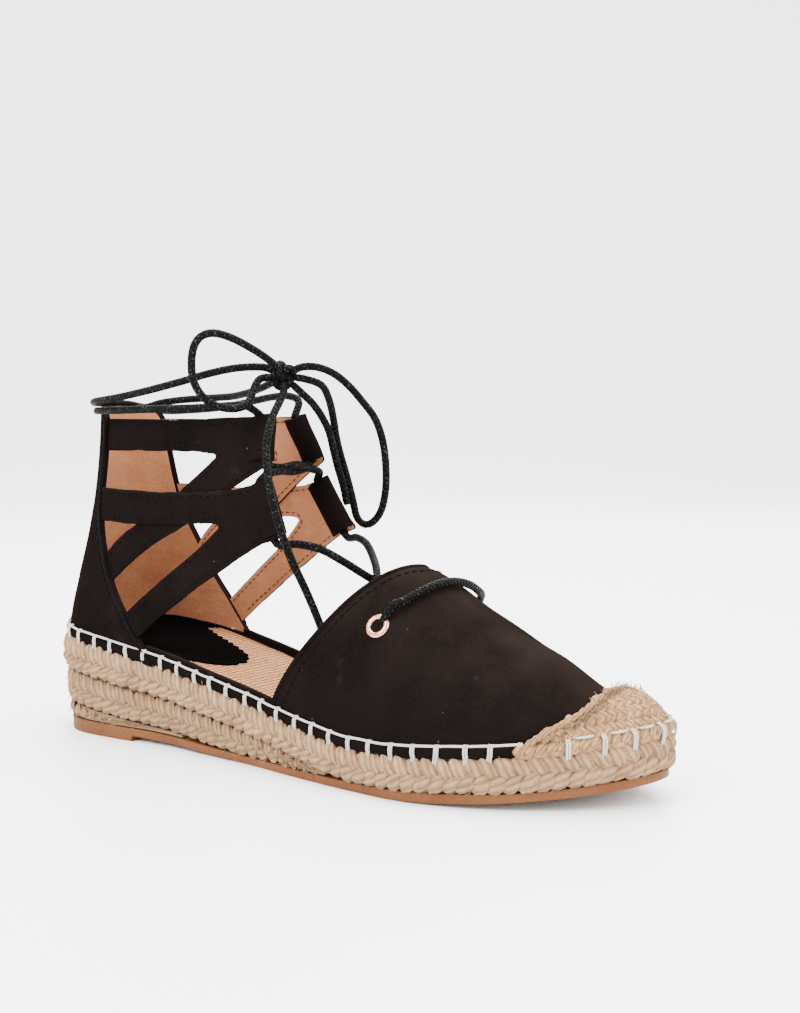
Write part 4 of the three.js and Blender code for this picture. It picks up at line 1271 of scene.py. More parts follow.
# Braided courses of the sole: outline inset, rounding, bottom, top and how far forward they run.
def course_rows():
    return (
        {"name": "rim", "inset": 0.5, "round": 1.6, "low": lambda x: layers["mid"](x) + GAP,
         "high": layers["rim"], "to": 400.0, "finish": "Braided jute", "rows": 2, "relief": 1.0},
        {"name": "middle", "inset": 1.2, "round": 1.4, "low": lambda x: layers["low"](x) + GAP,
         "high": layers["mid"], "to": 152.0, "finish": "Ground jute", "rows": 2, "relief": 0.72},
        {"name": "low", "inset": 2.0, "round": 1.0, "low": lambda x: layers["outsole"](x) + GAP,
         "high": layers["low"], "to": 76.0, "finish": "Ground jute", "rows": 1, "relief": 0.8},
    )


def course_point(course, a, v, lift=0.0):
    """A point on a course's side, a along the outline and v from its foot to its top, and the way out."""
    x, y, nx, ny = ROUND.at(a)
    low, high = course["low"](x), course["high"](x)
    bend = 2 * v - 1
    draw = course["inset"] + course["round"] * abs(bend) ** 2.6
    tilt = math.radians(52) * bend * abs(bend)
    out = Vector((nx * math.cos(tilt), ny * math.cos(tilt), math.sin(tilt)))
    return Vector((x - nx * draw, y - ny * draw, lerp(low, high, v))) + out * lift, out


def core_inset(course, u):
    """How far the core lies inside the outline: nearer the surface where the course is thin."""
    x = LENGTH * (1 - math.cos(math.pi * u)) / 2
    tall = course["high"](x) - course["low"](x)
    return course["inset"] + lerp(0.3, course["round"] + 0.7, smooth((tall - 2.5) / 5))


def lay_plies(shape, course, pitch, rng, sides=10, rings=7):
    """Slanted plies in rows: each dives under its neighbours at the row's middle line."""
    count = round(ROUND.length / pitch)
    step = ROUND.length / count
    for i in range(count):
        a0 = i * step
        x, _ = ROUND.spot(a0)
        tall = course["high"](x) - course["low"](x)
        if x > course["to"] or tall < 2.4:
            continue
        rows = ((0.96, 0.47), (0.04, 0.53)) if course["rows"] == 2 else ((0.95, 0.05),)
        for row, (v_edge, v_mid) in enumerate(rows):
            slant = tall * (0.62 if course["rows"] == 2 else 0.5) * rng.uniform(0.92, 1.08)
            offset = step / 2 if row else 0.0
            path, ups = [], []
            bulge = rng.uniform(0.85, 1.1) * min(1.0, tall / 8) * course["relief"]
            for k in range(rings):
                t = k / (rings - 1)
                bow = math.sin(math.pi * t)
                v = lerp(v_edge, v_mid, t)
                a = a0 + offset - slant * (1 - t) ** 1.25
                lift = (-1.15 + 1.45 * bow ** 0.55) * bulge - 0.5 * t ** 6
                p, out = course_point(course, a, v, lift)
                path.append(p)
                ups.append(out)
            wide = step * 0.53 * rng.uniform(0.95, 1.1)
            sweep(shape, path,
                  lambda t, w=wide: w * (0.62 + 0.42 * math.sin(math.pi * min(max(t, 0.06), 0.94))),
                  min(1.75, tall * 0.2) * bulge, sides=sides, ups=ups, lobes=3, twist=0.55, tip=0.55,
                  start=rng.uniform(0, 40))


def sole_layer(shape, to_x, inset, low, high, rows=70, edge=0.4, slot=0):
    """A flat layer between two heights over the sole's outline, its edges slightly rounded."""
    last = u_at(to_x) if to_x < LENGTH else 1.0
    profile = ((0.0, edge), (0.25 * edge, 0.25 * edge), (edge, 0.0), (-edge, 0.0),
               (-0.25 * edge, 0.25 * edge), (-0.001, edge))
    rings = []
    for rise, draw in profile:
        outer, inner = [], []
        for i in range(rows + 1):
            u = last * i / rows
            x, yo, yi = edge_at(u, inset(u) + draw)
            bottom, top = low(x), high(x)
            z = bottom + rise if rise >= 0 else top + rise
            outer.append(Vector((x, yo, z)))
            inner.append(Vector((x, yi, z)))
        rings.append(outer + inner[::-1])
    base, size = len(shape.points), len(rings[0])
    for ring in rings:
        shape.points.extend(ring)

    def uv(i):
        p = shape.points[i]
        return (p.x, p.y)

    for k in range(len(rings) - 1):
        for i in range(size):
            j = (i + 1) % size
            quad = (base + k * size + i, base + k * size + j, base + (k + 1) * size + j,
                    base + (k + 1) * size + i)
            if (shape.points[quad[0]] - shape.points[quad[1]]).length < 1e-6:
                continue
            shape.face(quad, tuple((shape.points[q].x, shape.points[q].z) for q in quad), slot)
    top = base + (len(rings) - 1) * size
    for i in range(size // 2 - 1):
        for quad in ((base + i, base + size - 1 - i, base + size - 2 - i, base + i + 1),
                     (top + i, top + i + 1, top + size - 2 - i, top + size - 1 - i)):
            shape.face(quad, tuple(uv(q) for q in quad), slot)


def tidy(piece, angle=35):
    """Merges doubles, turns the faces out and smooths by angle."""
    only(piece)
    bpy.ops.object.mode_set(mode="EDIT")
    bpy.ops.mesh.select_all(action="SELECT")
    bpy.ops.mesh.remove_doubles(threshold=1e-6)
    bpy.ops.mesh.normals_make_consistent(inside=False)
    bpy.ops.object.mode_set(mode="OBJECT")
    bpy.ops.object.shade_smooth_by_angle(angle=math.radians(angle))
    return piece


class ESPADRILLE_OT_sole(Builder):
    """Braid the three jute courses over their cores."""

    bl_idname = "espadrille.sole"
    bl_label = "Braided courses"

    def build(self, sizes):
        rng = random.Random(7)
        for course in course_rows():
            shape = Shape()
            to_x = min(course["to"] + 2, LENGTH)
            sole_layer(shape, to_x, lambda u, c=course: core_inset(c, u),
                       lambda x, c=course: c["low"](x) + 0.15,
                       lambda x, c=course: max(c["high"](x), c["low"](x) + 0.4),
                       edge=0.3)
            # The core's UV puts it partly into the jute's painted shade, so it reads dark between the plies.
            shape.corners = [tuple((0.06, uv[1]) for uv in face) for face in shape.corners]
            lay_plies(shape, course, sizes.ply_pitch / MM, rng)
            piece = tidy(shape.piece("jute_course_" + course["name"], [finish_named(course["finish"])]), 80)
            shown(piece, "jute", "braid_" + course["name"])


class ESPADRILLE_OT_outsole(Builder):
    """Cut the rubber outsole and its heel lift."""

    bl_idname = "espadrille.outsole"
    bl_label = "Outsole"

    def build(self, sizes):
        inset = curve_through(({"u": 0, "i": 2.4}, {"u": 0.35, "i": 2.0}, {"u": 0.6, "i": 1.0},
                               {"u": 1, "i": 0.9}),
                              "u", "i")
        shape = Shape()
        sole_layer(shape, LENGTH, inset, underside, layers["outsole"], rows=90)
        sheet = tidy(shape.piece("rubber_sheet", [finish_named("Caramel rubber")]))
        shown(sheet, "rubber", "outsole")
        shape = Shape()
        sole_layer(shape, HEEL_BREAST, inset, lambda x: 0.0, lambda x: 3.4, rows=40)
        lift = tidy(shape.piece("heel_lift", [finish_named("Caramel rubber")]))
        shown(lift, "rubber")


class ESPADRILLE_OT_insole(Builder):
    """Lay the woven insole and the black sock pad with its pinked edge."""

    bl_idname = "espadrille.insole"
    bl_label = "Insole and sock pad"

    def build(self, sizes):
        inset = curve_through((
            {"u": 0, "i": 4.4}, {"u": 0.2, "i": 4.8}, {"u": 0.28, "i": 4.4}, {"u": 0.37, "i": 3.9},
            {"u": 0.55, "i": 4.0}, {"u": 0.7, "i": 4.6}, {"u": 0.8, "i": 6.2}, {"u": 1, "i": 8.0}),
            "u", "i")
        shape = Shape()
        sole_layer(shape, LENGTH, inset, seat, lambda x: seat(x) + INSOLE_THICK, rows=90, edge=0.6)
        woven = tidy(shape.piece("woven_insole", [finish_named("Coarse woven insole")]))
        shown(woven, "woven", "insole")

        edge = []
        for i in range(15):
            u = u_at(lerp(46, 9.5, smooth(i / 14)))
            x, outer, _ = edge_at(u, inset(u) + 1.2)
            edge.append((x, outer))
        for i in range(15):
            u = u_at(lerp(9.5, 42, smooth(i / 14)))
            x, _, inner = edge_at(u, inset(u) + 1.2)
            edge.append((x, inner))
        scallops = [Vector((42.2, 21.2)), Vector((52.8, 16.2)), Vector((63.6, 12.2)), Vector((72.2, 8.8)),
                    Vector((79.0, 5.6)), Vector((84.0, 0.8)), Vector((86.4, -4.4))]
        along = spaced([v.to_3d() for v in scallops], 0.6)
        for i, p in enumerate(along[1:-1]):
            q = along[i + 2] - along[i]
            out = Vector((-q.y, q.x, 0)).normalized()
            wave = abs(math.sin(math.pi * i * 0.6 / 4.7))
            edge.append(tuple((p + out * (2.3 * wave - 1.0)).xy))
        near = [Vector((86.6, -7.0, 0)), Vector((84.6, -12.0, 0)), Vector((79.7, -16.9, 0)),
                Vector((71.9, -20.7, 0)), Vector((64.3, -23.6, 0)), Vector((56.0, -25.4, 0))]
        edge.extend(tuple(p.xy) for p in curve_points(near, 2.0))
        flat, faces = cut_panel(edge, 1.6)

        def over(p):
            return Vector((p[0], p[1], seat(p[0]) + INSOLE_THICK + 0.75))

        def under(p):
            return Vector((p[0], p[1], seat(p[0]) + INSOLE_THICK + 0.05))

        shape = Shape()
        slab(shape, flat, faces, over, under, bulge=0.15, slots=(0, 0))
        pad = tidy(shape.piece("sock_pad", [finish_named("Black sock fabric")]), 50)
        shown(pad, "suede")


# ------------------------------------------------------------------ upper
def layer_side(side, offset):
    """Puts a side-view point on the cage, offset inwards."""
    return lambda p: Vector((p[0], side * (cage_half(p[0], p[1]) - offset), p[1]))


def edge_path(polygon, inset, side, offset):
    """The outline drawn in by inset, laid on the cage's side."""
    count = len(polygon)
    area = sum(a[0] * b[1] - b[0] * a[1] for a, b in zip(polygon, polygon[1:] + polygon[:1]))
    hand = 1 if area > 0 else -1
    lay = layer_side(side, offset)
    points = []
    for i in range(count):
        p = Vector(polygon[i])
        along = Vector(polygon[(i + 1) % count]) - Vector(polygon[i - 1])
        if along.length < 1e-6:
            continue
        normal = Vector((-along.y, along.x)).normalized() * hand
        q = p + normal * inset
        points.append(lay((q.x, q.y)))
    return points


def cage_normal(side):
    def at(p):
        fx = (cage_half(p.x + 0.5, p.z) - cage_half(p.x - 0.5, p.z))
        fz = (cage_half(p.x, p.z + 0.5) - cage_half(p.x, p.z - 0.5))
        return Vector((-fx, side, -fz)).normalized()
    return at


class ESPADRILLE_OT_straps(Builder):
    """Cut the ankle straps of both sides, fold their lace tunnels and stitch them."""

    bl_idname = "espadrille.straps"
    bl_label = "Ankle straps"

    def build(self, sizes):
        seams = Shape()
        for side, where in ((-1, "outer"), (1, "inner")):
            for name, polygon, offset in (("upper", UPPER_STRAPS, 0.75), ("lower", LOWER_STRAPS, -0.35)):
                cut = rounded(polygon)
                flat, faces = cut_panel(cut, 2.4)
                shape = Shape()
                slab(shape, flat, faces, layer_side(side, offset), layer_side(side, offset + 1.15),
                     bulge=0.35, flip=side > 0)
                piece = tidy(shape.piece(f"straps_{name}_{where}",
                                         [finish_named("Black suede"), finish_named("Tan lining")]), 60)
                shown(piece, "suede")
                normal = cage_normal(side)
                for face, slot in ((offset - 0.02, 0), (offset + 1.17, 1)):
                    line = edge_path(cut, 1.7, side, face)
                    kept = []
                    for p in line + line[:1]:
                        if p.x > counter_edge(p.z) + 1.0:
                            kept.append(p)
                        elif len(kept) > 2:
                            stitches(seams, kept,
                                     (lambda q, s=1 if slot == 0 else -1: normal(q) * s), slot=slot)
                            kept = []
                        else:
                            kept = []
                    if len(kept) > 2:
                        stitches(seams, kept, (lambda q, s=1 if slot == 0 else -1: normal(q) * s),
                                 slot=slot)
        sewn = seams.piece("strap_stitches", [finish_named("Black thread"), finish_named("Brown thread")])
        shown(sewn, "suede")

        for side, where in ((-1, "outer"), (1, "inner")):
            for index, casing in enumerate(CASINGS):
                axis = casing_axis(casing, side, 0.0, 12)
                down = (axis[-1] - axis[0]).normalized()
                mid = axis[6]
                along = Vector((2.0, side * (cage_half(mid.x + 2, mid.z) - cage_half(mid.x, mid.z)), 0))
                across = (along - down * along.dot(down)).normalized()
                through = across.cross(down)
                if through.y * side < 0:
                    through = -through
                shape = Shape()
                sides = 24
                rings = []
                last = len(axis) - 1
                for i, centre in enumerate(axis):
                    mouth = 1.0 + 0.05 * math.cos(2 * math.pi * i / last)
                    ring = []
                    for j in range(sides):
                        turn = 2 * math.pi * j / sides
                        c, s = math.cos(turn), math.sin(turn)
                        taper = smooth((c + 1.05) / 0.9) * 0.74 + 0.26
                        reach = (CASING_WIDTH / 2 + 1.1) * c if c > 0 else (CASING_WIDTH / 2 + 1.6) * c
                        ring.append(centre + across * reach
                                    + through * (CASING_THICK / 2 * s * taper * mouth))
                    rings.append(ring)
                for centre, ring, way in ((axis[0], rings[0], 1), (axis[-1], rings[-1], -1)):
                    hole = [centre + (p - centre) * 0.66 + across * 0.9 for p in ring]
                    deep = [p + down * way * 3.0 for p in hole]
                    if way > 0:
                        rings = [deep, hole] + rings
                    else:
                        rings = rings + [hole, deep]
                base = len(shape.points)
                for ring in rings:
                    shape.points.extend(ring)
                for i in range(len(rings) - 1):
                    for j in range(sides):
                        k = (j + 1) % sides
                        quad = (base + i * sides + j, base + (i + 1) * sides + j,
                                base + (i + 1) * sides + k, base + i * sides + k)
                        shape.face(quad, tuple((q % sides * 0.9, i * 1.4) for q in quad), 0)
                for first in (base, base + (len(rings) - 1) * sides):
                    ring = tuple(first + j for j in range(sides))
                    shape.face(ring, tuple((0.0, 0.0) for _ in ring), 0)
                name = ("upper", "lower")[index]
                piece = tidy(shape.piece(f"lace_tunnel_{name}_{where}", [finish_named("Black suede")]), 50)
                shown(piece, "suede")


class ESPADRILLE_OT_counter(Builder):
    """Wrap the heel counter round the back, with its lining and the corded seam at its edge."""

    bl_idname = "espadrille.counter"
    bl_label = "Heel counter"

    def build(self, sizes):
        rows, across = 62, 57
        zs = [lerp(27.0, 119.0, i / (rows - 13)) for i in range(rows - 12)]
        zs += [lerp(119.0, 126.55, (i / 12) ** 0.8) for i in range(1, 13)]
        flat = []
        for z in zs:
            for j in range(across):
                t = 2 * j / (across - 1) - 1
                flat.append((t, z))

        def on(offset):
            def at(p):
                t, z = p
                back = cage["back"](z) + offset
                x = back + (counter_edge(z) - back) * t * t
                return Vector((x, math.copysign(cage_half(max(x, back), z, offset), t) if t else 0.0, z))
            return at

        shape = Shape()
        slab(shape, flat, [f[::-1] for f in grid_faces(rows, across)], on(-0.75), on(1.9), bulge=0.3)
        piece = shape.piece("heel_counter",
                            [finish_named("Black suede"), finish_named("Tan lining")], angle=60)
        tidy(piece, 60)
        shown(piece, "suede")
        seam = Shape()
        for side in (-1, 1):
            edge = []
            for i in range(90):
                z = lerp(38.0, 124.8, i / 89)
                x = counter_edge(z) - 0.3
                edge.append(Vector((x, side * (cage_half(x, z) + 0.75), z)))
            sweep(seam, spaced(edge, 1.2), 0.62, sides=8, tip=0.6)
            row = [Vector((p.x - 2.0, side * (cage_half(p.x - 2.0, p.z) + 0.8), p.z)) for p in edge]
            stitches(seam, row, cage_normal(side), slot=0)
        sewn = seam.piece("counter_seam", [finish_named("Black thread")])
        shown(sewn, "suede")


class ESPADRILLE_OT_vamp(Builder):
    """Draw the closed vamp over the forefoot, bind its topline and set the eyelets."""

    bl_idname = "espadrille.vamp"
    bl_label = "Vamp and eyelets"

    def build(self, sizes):
        across, rows = 73, 60
        starts = [vamp_start(TOPLINE, math.pi * lerp(0.004, 0.996, j / (across - 1)))
                  for j in range(across)]
        flat = []
        for i in range(rows):
            for j in range(across):
                flat.append((lerp(starts[j], 0.965, (i / (rows - 1))),
                             math.pi * lerp(0.004, 0.996, j / (across - 1))))

        def dented(u, angle, grow):
            """The vamp with its soft troughs: one across the toe break, one beside the ridge."""
            p = vamp_point(u, angle, grow)
            x = LENGTH * (1 - math.cos(math.pi * u)) / 2
            s = math.sin(angle)
            trough = 0.7 * math.exp(-((x - 203 + 10 * math.cos(angle)) / 7.0) ** 2) * s ** 3
            ridge = 0.35 * math.exp(-((x - 212 + 10 * math.cos(angle)) / 5.0) ** 2) * s ** 3
            hollow = 0.5 * math.exp(-((angle - 1.0) / 0.25) ** 2) * math.exp(-((x - 222) / 14) ** 2)
            p.z += ridge - trough - hollow
            return p

        shape = Shape()
        slab(shape, flat, grid_faces(rows, across), lambda p: dented(p[0], p[1], 0.0),
             lambda p: dented(p[0], p[1], -WALL), bulge=0.2)
        shape.corners = [tuple((uv[0] * 200, uv[1] * 20) for uv in face) for face in shape.corners]
        piece = shape.piece("vamp", [finish_named("Black suede"), finish_named("Tan lining")], angle=60)
        tidy(piece, 60)
        shown(piece, "suede")

        rim, ups, row, row_ups = [], [], [], []
        for j in range(across):
            angle = math.pi * lerp(0.004, 0.996, j / (across - 1))
            u = starts[j]
            out = surface_normal(lambda a, b: vamp_point(a, b), u, angle, 0.004, 0.01)
            if out.z < 0 and abs(math.cos(angle)) < 0.9:
                out = -out
            middle = vamp_point(u, angle, -WALL / 2)
            if (vamp_point(u, angle, 0.5) - middle).dot(out) < 0:
                out = -out
            rim.append(middle)
            ups.append(out)
            row.append(vamp_point(u + 0.0125, angle, 0.05))
            row_ups.append(out)
        path = spaced(rim, 1.5)
        up_at = [ups[min(int(i / (len(path) - 1) * (across - 1)), across - 1)] for i in range(len(path))]
        trim = Shape()
        sweep(trim, path, 1.25, 1.55, sides=12, ups=up_at, tip=0.8)
        binding = trim.piece("topline_binding", [finish_named("Black suede")])
        shown(binding, "suede")
        sewn = Shape()

        def near_up(q):
            i = min(range(across), key=lambda k: (row[k] - q).length)
            return row_ups[i]

        stitches(sewn, row, near_up, radius=0.3)
        shown(sewn.piece("topline_stitches", [finish_named("Black thread")]), "suede")

        for side, where in ((-1, "outer"), (1, "inner")):
            u = u_at(EYELET_X)
            angle = math.acos(EYELET_SIDE) if side < 0 else math.pi - math.acos(EYELET_SIDE)
            centre = vamp_point(u, angle)
            axis = surface_normal(lambda a, b: vamp_point(a, b), u, angle, 0.01, 0.01)
            if axis.z < 0:
                axis = -axis
            self.eyelet(f"eyelet_ring_{where}", centre, axis, "eyelet_" + where)

    def eyelet(self, name, centre, axis, node):
        """Turns one eyelet: a rolled flange on the face, a barrel and the flange behind."""
        bpy.ops.object.select_all(action="DESELECT")
        mesh = bpy.data.meshes.new(name)
        section = [(2.35, -1.4), (2.35, 0.1), (2.5, 0.55), (2.95, 0.86), (3.6, 0.82), (4.1, 0.52),
                   (4.28, 0.16), (4.1, 0.02), (3.0, 0.0), (2.75, -0.4), (2.75, -1.7), (3.9, -1.8),
                   (4.1, -2.0), (3.9, -2.3), (2.6, -2.3)]
        mesh.from_pydata([(r * MM, 0, h * MM) for r, h in section],
                         [(i, (i + 1) % 15) for i in range(15)], [])
        piece = bpy.data.objects.new(name, mesh)
        bpy.context.scene.collection.objects.link(piece)
        only(piece)
        bpy.ops.object.mode_set(mode="EDIT")
        bpy.ops.mesh.select_all(action="SELECT")
        bpy.ops.mesh.spin(steps=48, angle=2 * math.pi, center=(0, 0, 0), axis=(0, 0, 1))
        bpy.ops.mesh.select_all(action="SELECT")
        bpy.ops.mesh.remove_doubles(threshold=1e-6)
        bpy.ops.mesh.normals_make_consistent(inside=False)
        bpy.ops.object.mode_set(mode="OBJECT")
        piece.data.transform(axis.to_track_quat("Z", "Y").to_matrix().to_4x4())
        piece.data.transform(Matrix.Translation(placed(centre)))
        piece.data.materials.append(finish_named("Rose gold"))
        bpy.ops.object.shade_smooth_by_angle(angle=math.radians(50))
        shown(piece, "rose_gold", node)


def ring_stations(start, end, pitch, inset, height):
    """Stations (point, out, up) along the sole's top edge between two lengths."""
    count = max(3, round((end - start) / pitch))
    stations = []
    for i in range(count + 1):
        x, y, nx, ny = ROUND.at(lerp(start, end, i / count), 3.0)
        p = Vector((x - nx * inset, y - ny * inset, seat(x) + height))
        stations.append((p, Vector((nx, ny, 0)), Vector((0, 0, 1))))
    return stations


class ESPADRILLE_OT_foxing(Builder):
    """Lay the black foxing band with its bound edge, and sew it with the white blanket stitch."""

    bl_idname = "espadrille.foxing"
    bl_label = "Band and blanket stitch"

    def build(self, sizes):
        length = ROUND.length
        start = ROUND.length_to(225, 1) - length
        end = ROUND.length_to(225, -1)
        shape = Shape()
        band = [(-2.5, -0.5), (-2.5, 2.9), (-2.2, 3.25), (-0.5, 3.3), (0.1, 3.0), (0.35, 2.3),
                (0.4, 0.8), (0.3, -0.4)]
        sweep_section(shape, ring_stations(start, end, 2.2, 1.2, 0.1), band[::-1])
        for side in (-1, 1):
            a, b = ROUND.length_to(60, side), ROUND.length_to(128, side)
            rim = [(-1.0, 2.6), (-1.0, 5.0), (-0.6, 5.45), (0.3, 5.45), (0.7, 5.0), (0.75, 2.6)]
            sweep_section(shape, ring_stations(min(a, b), max(a, b), 2.2, 2.6, 0.0), rim[::-1])
        piece = tidy(shape.piece("foxing_band", [finish_named("Black suede")]), 50)
        shown(piece, "suede", "upper")

        rng = random.Random(11)
        thread = Shape()
        pitch = sizes.stitch_pitch / MM
        count = round((end - start) / pitch)
        legs = []
        rim_course = course_rows()[0]
        for i in range(count + 1):
            a = lerp(start, end, i / count) + rng.uniform(-0.6, 0.6)
            lean = rng.uniform(-0.7, 0.5)
            x, y, nx, ny = ROUND.at(a, 3.0)
            out = Vector((nx, ny, 0))
            band_p = Vector((x, y, seat(x)))
            foot, way = course_point(rim_course, a + lean, 0.74, 0.15)
            path = [foot - way * 1.6, foot + way * 0.55,
                    course_point(rim_course, a + lean * 0.6, 0.93, 1.2)[0],
                    band_p + out * (-0.25) + Vector((0, 0, 1.4)),
                    band_p + out * (-0.55) + Vector((0, 0, 3.2)),
                    band_p + out * (-1.6) + Vector((0, 0, 3.75)),
                    band_p + out * (-3.4) + Vector((0, 0, 3.3))]
            legs.append(band_p + out * (-0.75) + Vector((0, 0, 3.7)))
            for shift in (-0.42, 0.42):
                along = Vector((-ny, nx, 0)) * shift
                sweep(thread, [p + along for p in curve_points(path, 0.9)], 0.42, sides=6, tip=0.7)
        for a, b in zip(legs, legs[1:]):
            sag = Vector((0, 0, rng.uniform(-0.25, 0.1)))
            sweep(thread, curve_points([a, a.lerp(b, 0.33) + sag, a.lerp(b, 0.67) + sag, b], 1.3),
                  0.46, 0.4, sides=6)
        self.cap_stitches(thread, rng)
        sewn = thread.piece("blanket_stitch", [finish_named("White thread")])
        shown(sewn, None)

    def cap_stitches(self, thread, rng):
        """Over the toe cap's folded edge: short legs down to the braid and dashes along the fold."""
        start, end = ROUND.length_to(228, -1), ROUND.length_to(228, 1)
        count = round((end - start) / 11.5)
        rim_course = course_rows()[0]
        for i in range(1, count):
            a = lerp(start, end, i / count) + rng.uniform(-0.8, 0.8)
            foot, way = course_point(rim_course, a, 0.76, 0.2)
            top, out = cap_fold(a)
            up = Vector((0, 0, 1))
            path = [foot - way * 1.2, foot + way * 0.9, top - up * 1.9 + out * 2.2, top + out * 2.4,
                    top + out * 1.9 + up * 1.5, top + up * 2.4, top - out * 1.6 + up * 2.2]
            along = Vector((-out.y, out.x, 0)) * 0.42
            for shift in (along, -along):
                sweep(thread, [p + shift for p in curve_points(path, 0.9)], 0.42, sides=6, tip=0.7)
            dash = []
            for k in range(5):
                p, o = cap_fold(a + 2.2 + k * 1.5)
                dash.append(p + o * (0.9 + 0.4 * math.sin(math.pi * k / 4)) + up * 2.5)
            sweep(thread, dash, 0.42, sides=6, tip=0.6)


def cap_height(x, y):
    """The toe cap's surface over a place in the footprint."""
    grow = CAP_THICK + GAP - 0.5
    u = u_at(x)
    for _ in range(3):
        station = LENGTH * (1 - math.cos(math.pi * u)) / 2
        inset = vamp["inset"](station) - grow
        u = math.acos(min(max((LENGTH / 2 - x) / (LENGTH / 2 - inset), -1), 1)) / math.pi
    station = LENGTH * (1 - math.cos(math.pi * u)) / 2
    _, outer, inner = edge_at(u, vamp["inset"](station) - grow)
    half = max((inner - outer) / 2, 1e-3)
    c = min(max(((outer + inner) / 2 - y) / half, -1), 1)
    s = math.sqrt(max(1 - c * c, 0.0))
    rise = max(vamp["rise"](station), 0.0) + grow * min(1.0, (1 - u) * 12)
    return seat(x) + rise * s ** VAMP_FULLNESS


def cap_fold(a):
    """A point on the fold at the toe cap's foot, and the way out."""
    x, y, nx, ny = ROUND.at(a, 3.0)
    return Vector((x - nx * 1.2, y - ny * 1.2, seat(x) + 1.5)), Vector((nx, ny, 0))


class ESPADRILLE_OT_toe_cap(Builder):
    """Weave the jute toe cap: a shell under rows of short plies, and the fold at its foot."""

    bl_idname = "espadrille.toe_cap"
    bl_label = "Toe cap"

    def build(self, sizes):
        rng = random.Random(5)
        across, rows = 61, 16
        grow = CAP_THICK + GAP - 0.9
        angles = [math.pi * lerp(0.01, 0.99, j / (across - 1)) for j in range(across)]
        starts = [vamp_start(CAP_EDGE, angle, grow) for angle in angles]
        flat = [(lerp(starts[j], 0.9985, i / (rows - 1)), angles[j])
                for i in range(rows) for j in range(across)]
        shape = Shape()
        slab(shape, flat, grid_faces(rows, across), lambda p: vamp_point(p[0], p[1], grow),
             lambda p: vamp_point(p[0], p[1], 0.25), bulge=0.2, slots=(0, 0))
        shape.corners = [tuple((0.25, uv[1] * 20) for uv in face) for face in shape.corners]
        edge = []
        for j, angle in enumerate(angles):
            p = vamp_point(starts[j], angle, grow + 0.2)
            edge.append(p)
        ups = [surface_normal(lambda a, b: vamp_point(a, b), starts[j], angles[j], 0.004, 0.01)
               for j in range(across)]
        for turn in (0.0, math.pi):
            strand, above = [], []
            for i, p in enumerate(spaced(edge, 1.0)):
                up = ups[min(int(i / line_length(edge) * (across - 1)), across - 1)]
                up = up if up.z > 0 else -up
                phase = i * 1.25 + turn
                strand.append(p + up * (0.2 + 0.4 * math.sin(phase)) + Vector((0.5 * math.cos(phase), 0, 0)))
                above.append((up + Vector((-0.4, 0, 0))).normalized())
            sweep(shape, strand, 1.05, sides=9, ups=above, lobes=3, twist=0.9)

        insets = (1.5, 3.4, 6.6, 9.8, 13.0, 16.2, 19.4, 22.6, 25.8, 29.0)
        for k, (d0, d1) in enumerate(zip(insets, insets[1:])):
            outer_ring = Contour(d0, 200)
            inner_ring = Contour(d1, 200)
            u0 = outer_ring.length_to(208, -1) / outer_ring.length
            u1 = outer_ring.length_to(208, 1) / outer_ring.length
            pitch = 3.3
            count = round((u1 - u0) * outer_ring.length / pitch)

            def spot(f, v):
                ax, ay = outer_ring.spot(f * outer_ring.length)
                bx, by = inner_ring.spot(f * inner_ring.length)
                x, y = lerp(ax, bx, v), lerp(ay, by, v)
                return Vector((x, y, cap_height(x, y)))

            for i in range(count):
                f = lerp(u0, u1, (i + 0.5 * (k % 2)) / count)
                mid = spot(f, 0.5)
                if mid.x < line_x(CAP_EDGE, mid.x, mid.y) - 0.4:
                    continue
                for half, (v0, v1) in enumerate(((0.0, 0.56), (1.0, 0.44))):
                    path, ups = [], []
                    slant = 2.7 / outer_ring.length
                    for step in range(7):
                        t = step / 6
                        g = f - slant * (1 - t) + (pitch / 2 / outer_ring.length if half else 0.0)
                        p = spot(g, lerp(v0, v1, t))
                        out = surface_normal(spot, g, lerp(v0, v1, t), 0.002, 0.06)
                        if out.z < 0:
                            out = -out
                        path.append(p + out * (-0.55 + 0.95 * math.sin(math.pi * t)))
                        ups.append(out)
                    sweep(shape, path, pitch * 0.52, 0.9, sides=9, ups=ups, lobes=3, twist=0.9, tip=0.5,
                          start=rng.uniform(0, 40))
        start, end = ROUND.length_to(224, -1), ROUND.length_to(224, 1)
        count = round((end - start) / 3.4)
        for i in range(count):
            a = lerp(start, end, i / count)
            path, ups = [], []
            for step in range(7):
                t = step / 6
                turn = lerp(-0.9, 1.9, t)
                p, out = cap_fold(a + 2.4 * t)
                way = out * math.cos(turn) + Vector((0, 0, math.sin(turn)))
                path.append(p + way * 1.25)
                ups.append(way)
            sweep(shape, path, 1.75, 0.8, sides=8, ups=ups, lobes=3, twist=0.7, tip=0.5,
                  start=rng.uniform(0, 40))
        before = len(shape.faces)
        core = ring_stations(start, end, 2.0, 1.2, 1.5)
        sweep_section(shape, core, [(1.1, -2.6), (1.5, -0.8), (1.2, 0.4), (0.8, 1.1), (-1.6, 1.5),
                                    (-1.6, -2.6)])
        # The fold's core gets a UV that puts a little of the jute's painted shade on it.
        shape.corners[before:] = [tuple((0.1, uv[1]) for uv in face) for face in shape.corners[before:]]
        piece = tidy(shape.piece("woven_toe_cap", [finish_named("Cap jute")]), 80)
        shown(piece, "jute", "toe_cap")


